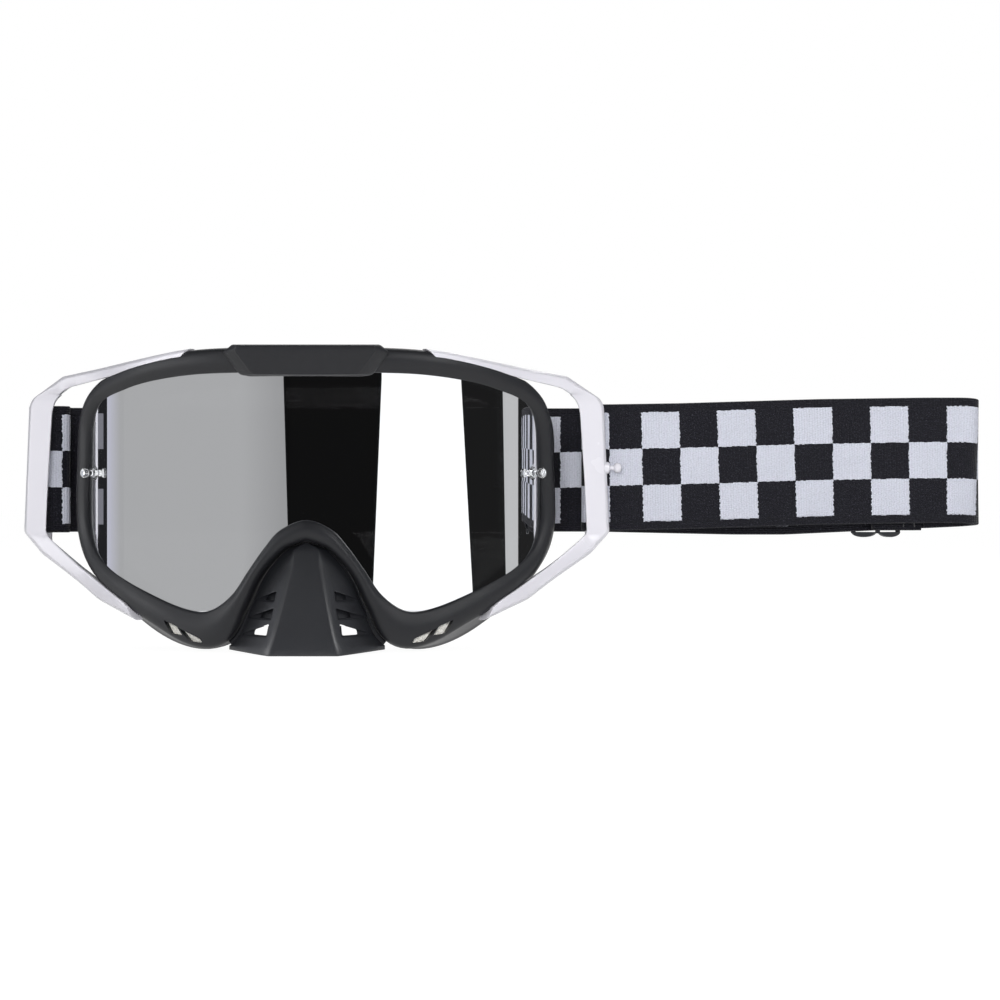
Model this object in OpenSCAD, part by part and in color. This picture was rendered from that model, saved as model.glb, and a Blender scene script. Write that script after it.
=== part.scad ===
// Off-road riding goggles with an elastic strap folded flat to one side.
// X runs to the right as seen from the front, Y towards the wearer, Z up.
// The origin is on the floor, in the flat foot of the nose guard.

/* [Lens] */
// Width of the lens opening seen from the front
lens_w = 156.6; // [150:0.2:160]
// Height of the lens opening from its lowest to its highest edge
lens_h = 80.2; // [76:0.2:84]
// Height of the lowest edge of the lens opening over the floor
lens_z = 14.2; // [13:0.1:16]
// Distance of the foremost line of the lens behind the origin
lens_y = 12.9; // [12:0.1:14]
// Radius of the lens front face about its upright axis
lens_r = 98; // [96:0.5:102]
// Thickness of the lens sheet
lens_t = 1.2; // [0.8:0.1:1.6]
// How far the lens runs under the rim
lens_lap = 2.6; // [2:0.1:3]
// Clearance between the lens and its groove
lens_gap = 0.2; // [0.1:0.05:0.3]

/* [Frame] */
// Height of the rim's crown over the lens face
rim_h = 2.9; // [2:0.1:4]
// Thickness of the frame wall behind the rim
wall_t = 2.8; // [2:0.1:3.2]
// Width of the face flange that carries the foam
flange_w = 11; // [9:0.5:12]
// Thickness of the face flange
flange_t = 1.6; // [1.2:0.1:2.2]
// Width of the brow block at its top edge
brow_w = 50; // [40:1:60]
// Width of the brow block at its lower edge
brow_low_w = 37; // [30:1:44]
// Height of the brow block
brow_h = 10.8; // [9:0.2:13]
// Rise of the brow block over the lens opening
brow_rise = 9.3; // [8:0.1:11]
// How far the brow block stands over the lens face
brow_d = 5.2; // [4:0.2:7]
// Number of slots in the top wall
vent_n = 6; // [4:2:8]
// Length of each slot in the top wall
vent_w = 11; // [7:0.5:12]

/* [Face foam] */
// Distance of the foam's face from the origin at the middle
face_y = 44.9; // [43:0.1:48]
// Radius of the curve of the wearer's face
face_r = 108; // [104:1:114]
// Thickness of the firm foam layer on the flange
base_t = 5; // [4:0.5:6]
// Thickness of the soft middle layer
mid_t = 5; // [4:0.5:6]
// Thickness of the fleece layer against the face
fleece_t = 2; // [1.5:0.1:2.5]
// Width of the foam
foam_w = 10; // [8:0.5:11]
// Gap between layers that are glued on each other
glue = 0.12; // [0.1:0.01:0.2]

/* [Outriggers] */
// Distance of the front bar's middle line from the middle plane at its lower end
bar_x = 100.5; // [99:0.1:102]
// Width of the front bar
bar_w = 8.3; // [7:0.1:9]
// Thickness of the arms and the front bar
arm_t = 4.8; // [4:0.1:5.4]
// Distance of the strap bar inwards from the front bar's middle line
loop_in = 2.6; // [2:0.1:3.4]
// Distance of the strap bar behind the origin
loop_y = 71.9; // [71:0.1:73]
// Width of the strap bar
loop_w = 5; // [4.4:0.2:6]
// Thickness of the strap bar
loop_t = 3; // [2.4:0.1:3.4]
// Clearance of the inlaid arms in the frame
arm_gap = 0.15; // [0.1:0.01:0.25]

/* [Posts] */
// Height of the tear-off posts over the floor
post_z = 61; // [56:0.5:66]
// Distance of the posts inwards from the side edge of the lens opening
post_in = 2.6; // [2.4:0.1:4]
// Length of a post in front of the lens
post_l = 6; // [5:0.1:7]
// Diameter of a post's flange
post_flange_d = 4.8; // [4:0.1:5.4]
// Diameter of a post's neck
post_neck_d = 2.2; // [1.8:0.1:2.4]
// Diameter of a post's head
post_head_d = 3.3; // [2.8:0.1:3.6]
// Diameter of the stud's head on the right outrigger
stud_head_d = 3.6; // [3:0.1:4]
// Diameter of the stud's neck
stud_neck_d = 2.6; // [2:0.1:2.8]
// How far the stud stands out of the outrigger
stud_l = 5.2; // [4.4:0.1:6]

/* [Nose guard] */
// Width of the flat middle panel at the foot
panel_w = 21; // [18:0.5:24]
// Width of the flat middle panel at its top
panel_top_w = 8; // [6:0.5:10]
// Thickness of the nose guard wall
guard_t = 2.2; // [1.8:0.1:2.6]
// Distance of the foot's front edge before the origin
foot_y = 1.1; // [0.8:0.1:1.4]
// Clearance between the nose guard and the frame
guard_gap = 0.4; // [0.3:0.05:0.6]
// Rearward lean of the nose guard from its foot to its top
guard_lean = 16; // [14:0.5:18]

/* [Strap] */
// Width of the elastic band
band_w = 45; // [42:0.5:46]
// Thickness of the elastic band
band_t = 1.4; // [1.2:0.1:1.6]
// Air between two layers of the band
band_gap = 0.3; // [0.25:0.05:0.4]
// Distance of the outer edge of the right fold from the middle plane
fold_x = 237.2; // [220:0.2:250]
// Radius of the band's middle line in the right fold
fold_r = 5; // [4.6:0.1:6]
// Distance of the slider on the right from the middle plane
slider_right_x = 202; // [195:0.5:206]
// Distance of the slider behind the lens from the middle plane
slider_left_x = 60; // [50:0.5:66]
// Diameter of the sliders' bars
slider_bar_d = 1.8; // [1.6:0.1:2]
// Width of one lobe of a slider
lobe_w = 9.2; // [8.4:0.1:10]

/* [Hidden] */
$fn = 48;

half_w = lens_w / 2;
foam_t = base_t + mid_t + fleece_t;
axis_y = lens_y + lens_r;
post_angle = asin((half_w - post_in) / lens_r);
loop_x = bar_x - loop_in;

// Half of the lens opening from the top middle round to the nose arch.
// Each row: part of the half width, part of the height, rim width, flange offset.
half_outline = [
    [0, 1, 8.7, 7], [0.26, 1, 8.7, 7], [0.49, 0.994, 8.6, 7], [0.69, 0.967, 8.6, 7],
    [0.83, 0.922, 8.8, 7.2], [0.93, 0.867, 9, 7.2], [0.981, 0.79, 9.2, 7], [0.992, 0.64, 9.2, 6.5],
    [1, 0.47, 9.2, 6.5], [0.991, 0.355, 9.2, 7], [0.945, 0.255, 9.2, 8], [0.83, 0.15, 9.4, 10],
    [0.64, 0.05, 10, 13], [0.5, 0.002, 12, 14], [0.41, 0.005, 12.6, 13], [0.32, 0.07, 8.6, 10.1],
    [0.25, 0.17, 6.6, 8.1], [0.18, 0.267, 6.2, 7.7], [0.11, 0.342, 6.8, 8.3], [0, 0.383, 7.3, 8.8]];
half_n = len(half_outline);
loop_n = 2 * half_n - 2;
outline = concat(half_outline,
    [for (i = [half_n - 2:-1:1])
        [-half_outline[i][0], half_outline[i][1], half_outline[i][2], half_outline[i][3]]]);

function spline(a, b, c, d, t) =
    0.5 * (2 * b + (c - a) * t + (2 * a - 5 * b + 4 * c - d) * t * t + (3 * b - a - 3 * c + d) * t * t * t);
function outline_at(u) =
    let (i = floor(u), t = u - i)
    spline(outline[(i + loop_n - 1) % loop_n], outline[i % loop_n],
        outline[(i + 1) % loop_n], outline[(i + 2) % loop_n], t);
function lens_arc(x) = lens_r * asin(x / lens_r) * PI / 180;
function lens_front_y(x) = axis_y - sqrt(lens_r * lens_r - x * x);
function face_line(x) = face_y + face_r - sqrt(face_r * face_r - x * x);
function unit(v) = v / norm(v);

// One station of the outline: x, z, rim width, flange offset, arc position,
// outward direction on the unrolled lens and outward direction seen from the front.
function station(u) =
    let (p = outline_at(u), q = outline_at(u + 0.05), o = outline_at(u + loop_n - 0.05),
        x = p[0] * half_w, z = lens_z + p[1] * lens_h,
        dx = (q[0] - o[0]) * half_w, dz = (q[1] - o[1]) * lens_h,
        ds = lens_arc(q[0] * half_w) - lens_arc(o[0] * half_w),
        m = unit([-dz, ds]), f = unit([-dz, dx]))
    [x, z, p[2], p[3], lens_arc(x), m[0], m[1], f[0], f[1]];
function stations(per) = [for (k = [0:loop_n * per - 1]) station(k / per)];

// A point at b outwards from the lens edge and h over the lens face.
function on_lens(s, b, h) =
    let (a = (s[4] + b * s[5]) / lens_r * 180 / PI)
    [(lens_r + h) * sin(a), axis_y - (lens_r + h) * cos(a), s[1] + b * s[6]];
// A point at q outwards from the lens edge and d before the wearer's face.
function on_face(s, q, d) =
    let (x = s[0] + q * s[7])
    [x, face_line(x) - d, s[1] + q * s[8]];

// A closed ring of sections joined round, and a row of sections with closed ends.
module ring_loft(rows) {
    n = len(rows);
    m = len(rows[0]);
    polyhedron(points = [for (r = rows, p = r) p],
        faces = [for (i = [0:n - 1], j = [0:m - 1])
            let (a = i * m + j, b = i * m + (j + 1) % m,
                c = ((i + 1) % n) * m + (j + 1) % m, d = ((i + 1) % n) * m + j)
            each [[a, b, c], [a, c, d]]]);
}
module row_loft(rows) {
    n = len(rows);
    m = len(rows[0]);
    polyhedron(points = [for (r = rows, p = r) p],
        faces = concat([[for (j = [0:m - 1]) j]], [[for (j = [m - 1:-1:0]) (n - 1) * m + j]],
            [for (i = [0:n - 2], j = [0:m - 1])
                let (a = i * m + j, b = i * m + (j + 1) % m, c = b + m, d = a + m)
                each [[a, c, b], [a, d, c]]]));
}

// Section of the frame: lip, crown, shoulder, wall, flange, inner wall, rear lip and groove.
rear_h = -lens_t - lens_gap;
lip_back = 1.6;
groove_b = lens_lap + lens_gap + 0.15;
function frame_section(s) =
    let (w = s[2], f = s[3])
    [on_lens(s, 0, lens_gap), on_lens(s, 0.2, 1.1), on_lens(s, 0.9, 1.7), on_lens(s, 0.38 * w, rim_h),
        on_lens(s, 0.72 * w, rim_h - 0.2), on_lens(s, 0.93 * w, rim_h - 1.4), on_lens(s, w, rim_h - 3.4),
        on_face(s, f - 1, foam_t + flange_t + 2.4), on_face(s, f, foam_t + flange_t),
        on_face(s, f, foam_t), on_face(s, f - flange_w / 2, foam_t), on_face(s, f - flange_w, foam_t),
        on_face(s, f - flange_w, foam_t + flange_t), on_face(s, f - 1 - wall_t, foam_t + flange_t + 0.4),
        on_lens(s, w - wall_t - 0.4, rear_h - lip_back - 0.4), on_lens(s, 0.8, rear_h - lip_back),
        on_lens(s, 0.8, rear_h), on_lens(s, groove_b, rear_h), on_lens(s, groove_b, lens_gap)];

module brow_block() {
    top_z = lens_z + lens_h + brow_rise;
    low_z = top_z - brow_h;
    hull() {
        translate([0, lens_y - lens_gap, 0]) rotate([90, 0, 0]) linear_extrude(1)
            polygon([[-brow_w / 2 + 2, top_z], [brow_w / 2 - 2, top_z], [brow_w / 2, top_z - 2],
                [brow_low_w / 2 + 1, low_z], [-brow_low_w / 2 - 1, low_z], [-brow_w / 2, top_z - 2]]);
        translate([0, lens_y - brow_d + 1, 0]) rotate([90, 0, 0]) linear_extrude(1)
            polygon([[-brow_w / 2 + 4.5, top_z - 0.8], [brow_w / 2 - 4.5, top_z - 0.8],
                [brow_low_w / 2 - 2, low_z + 1.6], [-brow_low_w / 2 + 2, low_z + 1.6]]);
    }
}

// Slots through the top wall, spread along the brow.
module top_slot(i) {
    x = (i - (vent_n - 1) / 2) * (vent_w + 4.5);
    y_mid = (lens_front_y(x) + 4 + face_line(x) - foam_t - flange_t) / 2;
    hull() for (e = [-1, 1]) translate([x + e * (vent_w / 2 - 2), y_mid, lens_z + lens_h + 1])
        cylinder(r = 2, h = 14, $fn = 16);
}

// The two small slots under each eye, drawn in the plane that touches the lens at vent_x.
vent_x = 42;
vent_slots = [
    [[-6.9, 11], [-1.2, 8.8], [0.8, 5.6], [-4, 6.3]],
    [[-0.8, 8.4], [7.5, 4.9], [8.3, 3.3], [3.5, 3.8]]];
vent_skin = 2.6;
module at_vent(side) {
    a = asin(vent_x / lens_r);
    translate([side * vent_x, lens_front_y(vent_x), 0]) rotate([0, 0, side * a]) children();
}
module vent_prism(side, points, from, to) {
    at_vent(side) translate([0, to, 0]) rotate([90, 0, 0]) linear_extrude(to - from)
        polygon([for (p = points) [-side * p[0], p[1]]]);
}
filter_points = [[-8.6, 12.4], [-1.4, 9.8], [8.6, 6], [9.6, 2.4], [3, 2.6], [-4.6, 4.9]];

module frame() {
    color([0.09, 0.09, 0.1]) difference() {
        union() {
            ring_loft([for (s = stations(3)) frame_section(s)]);
            brow_block();
        }
        for (i = [0:vent_n - 1]) top_slot(i);
        for (side = [-1, 1]) {
            for (v = vent_slots) hull() vent_prism(side, v, -8, 14);
            hull() vent_prism(side, filter_points, -rim_h + vent_skin, 14);
            outrigger_arm(side, arm_gap);
        }
    }
}

module lens_outline(b) {
    polygon([for (s = stations(3)) let (p = on_lens(s, b, -lens_t)) [p[0], p[2]]]);
}
module lens() {
    color([0.75, 0.77, 0.8]) difference() {
        intersection() {
            translate([0, axis_y, 0]) difference() {
                cylinder(r = lens_r, h = lens_z + lens_h + 20, $fn = 180);
                translate([0, 0, -1]) cylinder(r = lens_r - lens_t, h = lens_z + lens_h + 22, $fn = 180);
            }
            translate([0, axis_y, 0]) rotate([90, 0, 0]) linear_extrude(lens_r + 10) lens_outline(lens_lap);
        }
        for (side = [-1, 1]) at_post(side) translate([0, 0, -4]) cylinder(d = post_neck_d + 0.2, h = 8);
    }
}

// Local frame of a post: Z stands out of the lens face.
module at_post(side) {
    translate([0, axis_y, post_z]) rotate([0, 0, side * post_angle]) translate([0, -lens_r, 0])
        rotate([90, 0, 0]) children();
}
post_lift = 0.1;
module post(side) {
    color([0.85, 0.87, 0.88]) at_post(side) rotate_extrude()
        polygon([[0, -lens_t - 1.8], [post_neck_d / 2, -lens_t - 1.8], [post_neck_d / 2, post_lift],
            [post_flange_d / 2, post_lift], [post_flange_d / 2, 0.9], [post_neck_d / 2 + 0.5, 1.3],
            [post_neck_d / 2, 1.8], [post_neck_d / 2, post_l - 2], [post_head_d / 2, post_l - 1.6],
            [post_head_d / 2, post_l - 0.4], [post_head_d / 2 - 0.4, post_l], [0, post_l]]);
}
module post_washer(side) {
    color([0.2, 0.2, 0.22]) at_post(side) translate([0, 0, -lens_t - 0.15 - 1.2]) difference() {
        cylinder(d = 6, h = 1.2);
        translate([0, 0, -1]) cylinder(d = post_neck_d + 0.1, h = 4);
    }
}

// Middle line of an outrigger from the upper tip round the front bar to the lower tip.
// Each row: x, z, width.
arm_path = [[42.7, 101.2, 1.2], [48, 100.4, 3], [55.8, 98.9, 3.6], [70.9, 96, 4.3], [84.5, 93.3, 4],
    [bar_x - 9.1, 90.6, 5], [bar_x - 4.2, 86.4, 7], [bar_x - 1.9, 79, bar_w], [bar_x - 0.8, 62, bar_w],
    [bar_x, 44, bar_w], [bar_x - 1.5, 36.9, 7.3], [bar_x - 7.1, 30.8, 6.4], [bar_x - 16.3, 24.4, 6],
    [75.8, 19.8, 6.4],
    [66.6, 15.4, 6.6], [59, 10.6, 1.4]];
arm_n = len(arm_path);
arm_turn_x = 72;
bar_y = 62.9;
arm_slope = (bar_y - lens_front_y(arm_turn_x)) / (bar_x - 1.5 - arm_turn_x);
function arm_y(x) = min(bar_y + 0.6,
    x < arm_turn_x ? lens_front_y(x) : lens_front_y(arm_turn_x) + (x - arm_turn_x) * arm_slope);
function arm_tilt(x) = x < arm_turn_x ? asin(x / lens_r)
    : max(12, asin(arm_turn_x / lens_r) - (x - arm_turn_x) * 1.35);
function arm_row(u) =
    let (i = min(floor(u), arm_n - 2), t = u - i)
    spline(arm_path[max(i - 1, 0)], arm_path[i], arm_path[i + 1], arm_path[min(i + 2, arm_n - 1)], t);
// A rounded rectangle across the arm, width w and thickness t.
function arm_shape(w, t) =
    let (r = min(1.2, w / 3))
    [[-w / 2, -t / 2], [-w / 2, t / 2 - r], [-w / 2 + 0.3 * r, t / 2 - 0.3 * r], [-w / 2 + r, t / 2],
        [w / 2 - r, t / 2], [w / 2 - 0.3 * r, t / 2 - 0.3 * r], [w / 2, t / 2 - r], [w / 2, -t / 2]];
function arm_section(u, gap, side) =
    let (p = arm_row(u), q = arm_row(min(u + 0.05, arm_n - 1)), o = arm_row(max(u - 0.05, 0)),
        a = arm_tilt(p[0]), n = [sin(a), -cos(a), 0],
        v = unit([q[0] - o[0], arm_y(q[0]) - arm_y(o[0]), q[1] - o[1]]), c = unit(cross(v, n)))
    [for (k = arm_shape(p[2] + 2 * gap, arm_t + 2 * gap))
        let (e = [p[0], arm_y(p[0]), p[1]] + c * k[0] + n * k[1]) [side * e[0], e[1], e[2]]];
module outrigger_arm(side, gap = 0) {
    rows = [for (k = [0:3 * (arm_n - 1)]) arm_section(k / 3, gap, side)];
    row_loft(side > 0 ? rows : [for (r = rows) [for (j = [len(r) - 1:-1:0]) r[j]]]);
}

// Bar behind the front bar that the strap loops round, with the lugs that carry it.
loop_low = 35.4;
loop_high = 87.7;
lug_w = 4;
lug_h = 1.9;
module strap_bar(side) {
    translate([side * loop_x, loop_y, loop_low]) linear_extrude(loop_high - loop_low)
        hull() for (e = [-1, 1]) translate([e * (loop_w - loop_t) / 2, 0]) circle(d = loop_t);
    for (z = [loop_low, loop_high - lug_h])
        translate([side * (loop_x - 0.4) - lug_w / 2, bar_y - 1, z])
            cube([lug_w, loop_y - bar_y + 1, lug_h]);
}
module outrigger(side) {
    color([0.93, 0.92, 0.96]) union() {
        outrigger_arm(side);
        strap_bar(side);
        if (side > 0) stud();
    }
}
stud_z = 63;
stud_x = bar_x - 0.9 + bar_w / 2 - 1;
module stud() {
    translate([stud_x, bar_y, stud_z]) rotate([0, 90, 0]) rotate_extrude()
        polygon([[0, -2], [stud_neck_d / 2, -2], [stud_neck_d / 2, stud_l - 2.2],
            [stud_head_d / 2, stud_l - 1.8], [stud_head_d / 2, stud_l + 0.6],
            [stud_head_d / 2 - 0.4, stud_l + 1], [0, stud_l + 1]]);
}

// Edge of the nose arch as height and half width, for the nose guard to follow.
arch_from = 14;
arch_edge = [for (u = [arch_from:0.2:half_n - 1.05])
    let (s = station(u), p = on_lens(s, s[2] + guard_gap, -6)) [p[2], max(0.4, p[0])]];
guard_top = lens_z + outline[half_n - 1][1] * lens_h - outline[half_n - 1][2] - guard_gap - 0.3;
guard_rows = 14;
guard_cols = 7;
function guard_half(z) = lookup(z, arch_edge) * (z > guard_top - 0.6 ? 0.75 : 1);
function guard_front(z) = -foot_y + guard_lean * pow(z / guard_top, 1.45);
function guard_panel(z) = min(0.6 * guard_half(z),
    (panel_w - (panel_w - panel_top_w) * min(1, z / 29)) / 2);
guard_edge_y = 16.4;
function guard_y(x, z) =
    let (p = guard_panel(z), t = max(0, (abs(x) - p) / (guard_half(z) - p)))
    guard_front(z) + (guard_edge_y - guard_front(z)) * pow(t, 1.12);
function guard_level(z) =
    let (h = guard_half(z), p = guard_panel(z), half = [for (k = [0:guard_cols - 1]) k / (guard_cols - 1)],
        xs = concat([for (k = [guard_cols - 1:-1:0]) -(p + (h - p) * half[k])],
            [for (t = half) p + (h - p) * t]),
        rise = function (x) z < 0.01 ? max(0, (abs(x) - p - 1) * 0.085) : z)
    concat([for (x = xs) [x, guard_y(x, z), rise(x)]],
        [for (k = [len(xs) - 1:-1:0]) [xs[k], guard_y(xs[k], z) + guard_t, rise(xs[k])]]);
// One louvre: a slot whose tall end points at the middle panel.
louvres = [[12.2, 18.4, 18.6, 21.4], [12.8, 20.4, 12.6, 15.9], [13.4, 23, 6.6, 10.6]];
module louvre(side, l) {
    hull() for (k = [[l[0], l[2] + 0.4, 0.4], [l[0] - 0.9, l[3] - 0.4, 0.4], [l[1] - 0.3, l[2] + 0.3, 0.3]])
        translate([side * k[0], -12, k[1]]) rotate([-90, 0, 0]) cylinder(r = k[2], h = 40, $fn = 12);
}
// A shallow groove at each side of the top, which the frame's lip snaps into.
snap_r = 0.5;
module snap_dimple(side) {
    hull() for (e = [-1, 1])
        translate([side * panel_top_w / 2, guard_edge_y + e, guard_top - 2]) sphere(r = snap_r, $fn = 16);
}
module nose_guard() {
    color([0.11, 0.11, 0.12]) difference() {
        row_loft([for (j = [0:guard_rows]) guard_level(guard_top * sin(90 * j / guard_rows))]);
        for (side = [-1, 1], l = louvres) louvre(side, l);
        for (side = [-1, 1]) snap_dimple(side);
    }
}

// A foam layer between two depths before the face, with crowned and drawn-in sides.
function foam_section(s, from, to, swell) =
    let (f = s[3] - 0.3, g = f - foam_w, m = (from + to) / 2)
    [on_face(s, f - 0.5, from), on_face(s, f + swell, m + 0.2 * (from - to)),
        on_face(s, f + swell, m - 0.2 * (from - to)),
        on_face(s, f - 0.5, to), on_face(s, (f + g) / 2, to - (to < 0.5 ? 0.5 : 0)), on_face(s, g + 0.5, to),
        on_face(s, g - swell, m - 0.2 * (from - to)), on_face(s, g - swell, m + 0.2 * (from - to)),
        on_face(s, g + 0.5, from), on_face(s, (f + g) / 2, from)];
module foam(from, to, swell, tint) {
    color(tint) difference() {
        ring_loft([for (s = stations(3)) foam_section(s, from, to, swell)]);
        translate([-lens_w, 0, -20]) cube([2 * lens_w, 120, 20]);
    }
}
module foam_base() {
    foam(foam_t - glue, mid_t + fleece_t, 0.2, [0.13, 0.13, 0.14]);
}
module foam_mid() {
    foam(mid_t + fleece_t - glue, fleece_t, 0.5, [0.25, 0.25, 0.27]);
}
module foam_face() {
    foam(fleece_t - glue, 0, 0.3, [0.85, 0.8, 0.7]);
}

// Open foam under the slots of the top wall.
module top_vent_filter() {
    color([0.2, 0.2, 0.21]) row_loft([for (u = [loop_n - 2.6:0.25:loop_n + 2.6])
        let (s = station(u % loop_n), top = s[3] - 1 - wall_t - 0.4,
            y0 = lens_front_y(s[0]) + 6.5, y1 = face_line(s[0]) - foam_t - flange_t - 0.6)
        [for (k = [[y1, -2], [y1, 0], [y0, 0], [y0, -2]]) [s[0], k[0], s[1] + top + k[1]]]]);
}
module bottom_vent_filter(side) {
    color([0.88, 0.86, 0.8]) at_vent(side) translate([0, -rim_h + vent_skin + 3.4, 0]) rotate([90, 0, 0])
        linear_extrude(3.2)
            polygon([for (p = filter_points) [-side * p[0] * 0.95, (p[1] - 6.5) * 0.93 + 6.5]]);
}

// Routes of the band's middle line, as plan points with the height of the middle.
lay = band_t + band_gap;
front_lay = loop_y - loop_t / 2 - 0.25 - band_t / 2;
back_lay = loop_y + loop_t / 2 + 0.25 + band_t / 2;
wrap_r = (back_lay - front_lay) / 2;
wrap_x = loop_x - (loop_w - loop_t) / 2;
left_z = 62.6;
right_z = 62.8;
fold_z = 65.4;
fold_low_z = 64.6;
dip_z = 61.6;
dip_x = slider_right_x - 34;
fold_cx = fold_x - fold_r - band_t / 2;
fold_y = 81.9;
left_loose = 3.9;
run_y = face_line(half_w + 8) + 4.9;
turn_r = 4;
turn_x = -(loop_x + 1.5);
turn_y = run_y - 4.9;
run_from = turn_x + 37.4;
left_run = [[turn_x + 3, turn_y + 0.3, left_z], [turn_x + 15, run_y - 2.1, left_z],
    [turn_x + 27, run_y - 0.3, left_z], [run_from, run_y, left_z]];
right_slope = atan((fold_low_z - 0.2 - dip_z) / (fold_cx - 4 - dip_x));
function slope_z(x) = dip_z + (x - dip_x) * tan(right_slope);
slant_from = [dip_x - 18, fold_y + fold_r + 0.4, dip_z];
slant_to = [dip_x - 68, run_y - 0.4, left_z];
// Points round an arc from angle a0 to a1, rising from z0 to z1.
function arc(cx, cy, r, a0, a1, n, z0, z1) = [for (k = [0:n])
    let (t = k / n, a = a0 + (a1 - a0) * t) [cx + r * cos(a), cy + r * sin(a), z0 + (z1 - z0) * t]];
// Main band: round the right strap bar's inner side, out to the fold, back behind the lens,
// round the turn behind the left outrigger and over the left strap bar.
main_route = concat(
    arc(wrap_x, loop_y, wrap_r, 90, 270, 10, right_z, right_z),
    [[loop_x + 6, front_lay + 0.2, right_z], [130, front_lay + 2.6, right_z + 0.5],
        [180, fold_y - fold_r - 1.9, fold_z - 0.6], [fold_cx - 14, fold_y - fold_r, fold_z]],
    arc(fold_cx, fold_y, fold_r, -90, 90, 12, fold_z, fold_low_z),
    [[fold_cx - 4, fold_y + fold_r, slope_z(fold_cx - 4)], [dip_x, fold_y + fold_r, dip_z],
        [dip_x - 8, fold_y + fold_r, dip_z], slant_from, slant_to,
        [slant_to[0] - 10, run_y, left_z], [0, run_y, left_z]],
    [for (i = [3:-1:0]) left_run[i]],
    arc(turn_x, turn_y - turn_r, turn_r, 90, 180, 6, left_z, left_z),
    arc(turn_x, front_lay + turn_r, turn_r, 180, 270, 6, left_z, left_z),
    arc(left_loose - wrap_x, loop_y, wrap_r, -90, 90, 10, left_z, left_z));
// Sections of an upright band along a route, thickness t, width w.
function band_rows(route, t, w) = [for (i = [0:len(route) - 1])
    let (a = route[max(i - 1, 0)], b = route[min(i + 1, len(route) - 1)],
        d = unit([b[0] - a[0], b[1] - a[1]]), n = [-d[1], d[0], 0] * t / 2, p = route[i])
    [p - n - [0, 0, w / 2], p + n - [0, 0, w / 2], p + n + [0, 0, w / 2], p - n + [0, 0, w / 2]]];
// A route moved sideways by d in plan, to the left of its run for a positive d.
function offset_route(route, d) = [for (i = [0:len(route) - 1])
    let (a = route[max(i - 1, 0)], b = route[min(i + 1, len(route) - 1)],
        v = unit([b[0] - a[0], b[1] - a[1]]))
    route[i] + [-v[1] * d, v[0] * d, 0]];
module band(route, t = band_t, w = band_w) {
    row_loft(band_rows(route, t, w));
}
module strap_webbing() {
    color([0.12, 0.12, 0.15]) band(main_route);
}

// Doubled tails on the inner side of the main band, from each strap bar to its slider.
end_l = 16;
tail_right_route = concat(
    [[wrap_x + 1, back_lay, right_z], [loop_x + 5, back_lay - 0.1, right_z],
        [loop_x + 18, front_lay + 1.5 + lay, right_z + 0.2], [130, front_lay + 2.6 + lay, right_z + 0.5],
        [180, fold_y - fold_r - 1.9 + lay, fold_z - 0.6], [fold_cx - 14, fold_y - fold_r + lay, fold_z]],
    arc(fold_cx, fold_y, fold_r - lay, -90, 90, 12, fold_z, fold_low_z),
    [[fold_cx - 4, fold_y + fold_r - lay, slope_z(fold_cx - 4)]]);
tail_left_route = concat(
    [[left_loose - wrap_x - 1, back_lay, left_z]],
    arc(turn_x, back_lay + turn_r - lay, turn_r - lay, 270, 180, 6, left_z, left_z),
    arc(turn_x, turn_y - turn_r, turn_r - lay, 180, 90, 6, left_z, left_z),
    offset_route(left_run, -lay));
module strap_tail_right() {
    color([0.1, 0.1, 0.12]) band(tail_right_route);
}
module strap_tail_left() {
    color([0.1, 0.1, 0.12]) band(tail_left_route);
}
// Stretches of the tails between the fixed part and the sewn end, which grow as the slider moves.
seam = 0.1;
module strap_slack_right() {
    from = slider_right_x + end_l + seam;
    to = fold_cx - 4 - seam;
    color([0.1, 0.1, 0.12]) band([for (x = [from, (from + to) / 2, to])
        [x, fold_y + fold_r - lay, slope_z(x)]]);
}
module strap_slack_left() {
    color([0.1, 0.1, 0.12]) band([
        for (x = [run_from + seam, 0, slider_left_x - end_l - seam]) [x, run_y - lay, left_z]]);
}

// Local frame of a slider: X along the band away from the outrigger's bar, Y outwards, Z up.
module at_slider_right() {
    translate([slider_right_x, fold_y + fold_r, slope_z(slider_right_x)]) children();
}
module at_slider_left() {
    translate([slider_left_x, run_y, left_z]) children();
}
side_bar_y = band_t / 2 + 0.3 + slider_bar_d / 2;
mid_bar_y = -(band_t / 2 + 0.3 + band_t + 0.2 + slider_bar_d / 2);
side_bar_x = lobe_w - slider_bar_d / 2 - 0.2;
plate_gap = 0.6;
plate_t = 1.7;
module slider() {
    color([0.24, 0.25, 0.27]) union() {
        for (p = [[-side_bar_x, side_bar_y], [0, mid_bar_y], [side_bar_x, side_bar_y]])
            translate([p[0], p[1], -band_w / 2 - plate_gap - 0.5])
                cylinder(d = slider_bar_d, h = band_w + 2 * plate_gap + 1);
        for (e = [-1, 1]) intersection() {
            translate([0, 0, e > 0 ? band_w / 2 + plate_gap : -band_w / 2 - plate_gap - 5]) linear_extrude(5)
                for (k = [-1, 1]) hull() {
                    translate([k * side_bar_x, side_bar_y]) circle(d = 2.6);
                    translate([0, mid_bar_y]) circle(d = 2.6);
                }
            for (k = [-1, 1])
                translate([k * lobe_w / 2, 10, e * (band_w / 2 + plate_gap + plate_t - lobe_w / 2)])
                    rotate([90, 0, 0]) cylinder(d = lobe_w + 0.4, h = 20);
        }
    }
}
module slider_right() {
    at_slider_right() slider();
}
module slider_left() {
    at_slider_left() slider();
}

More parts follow.
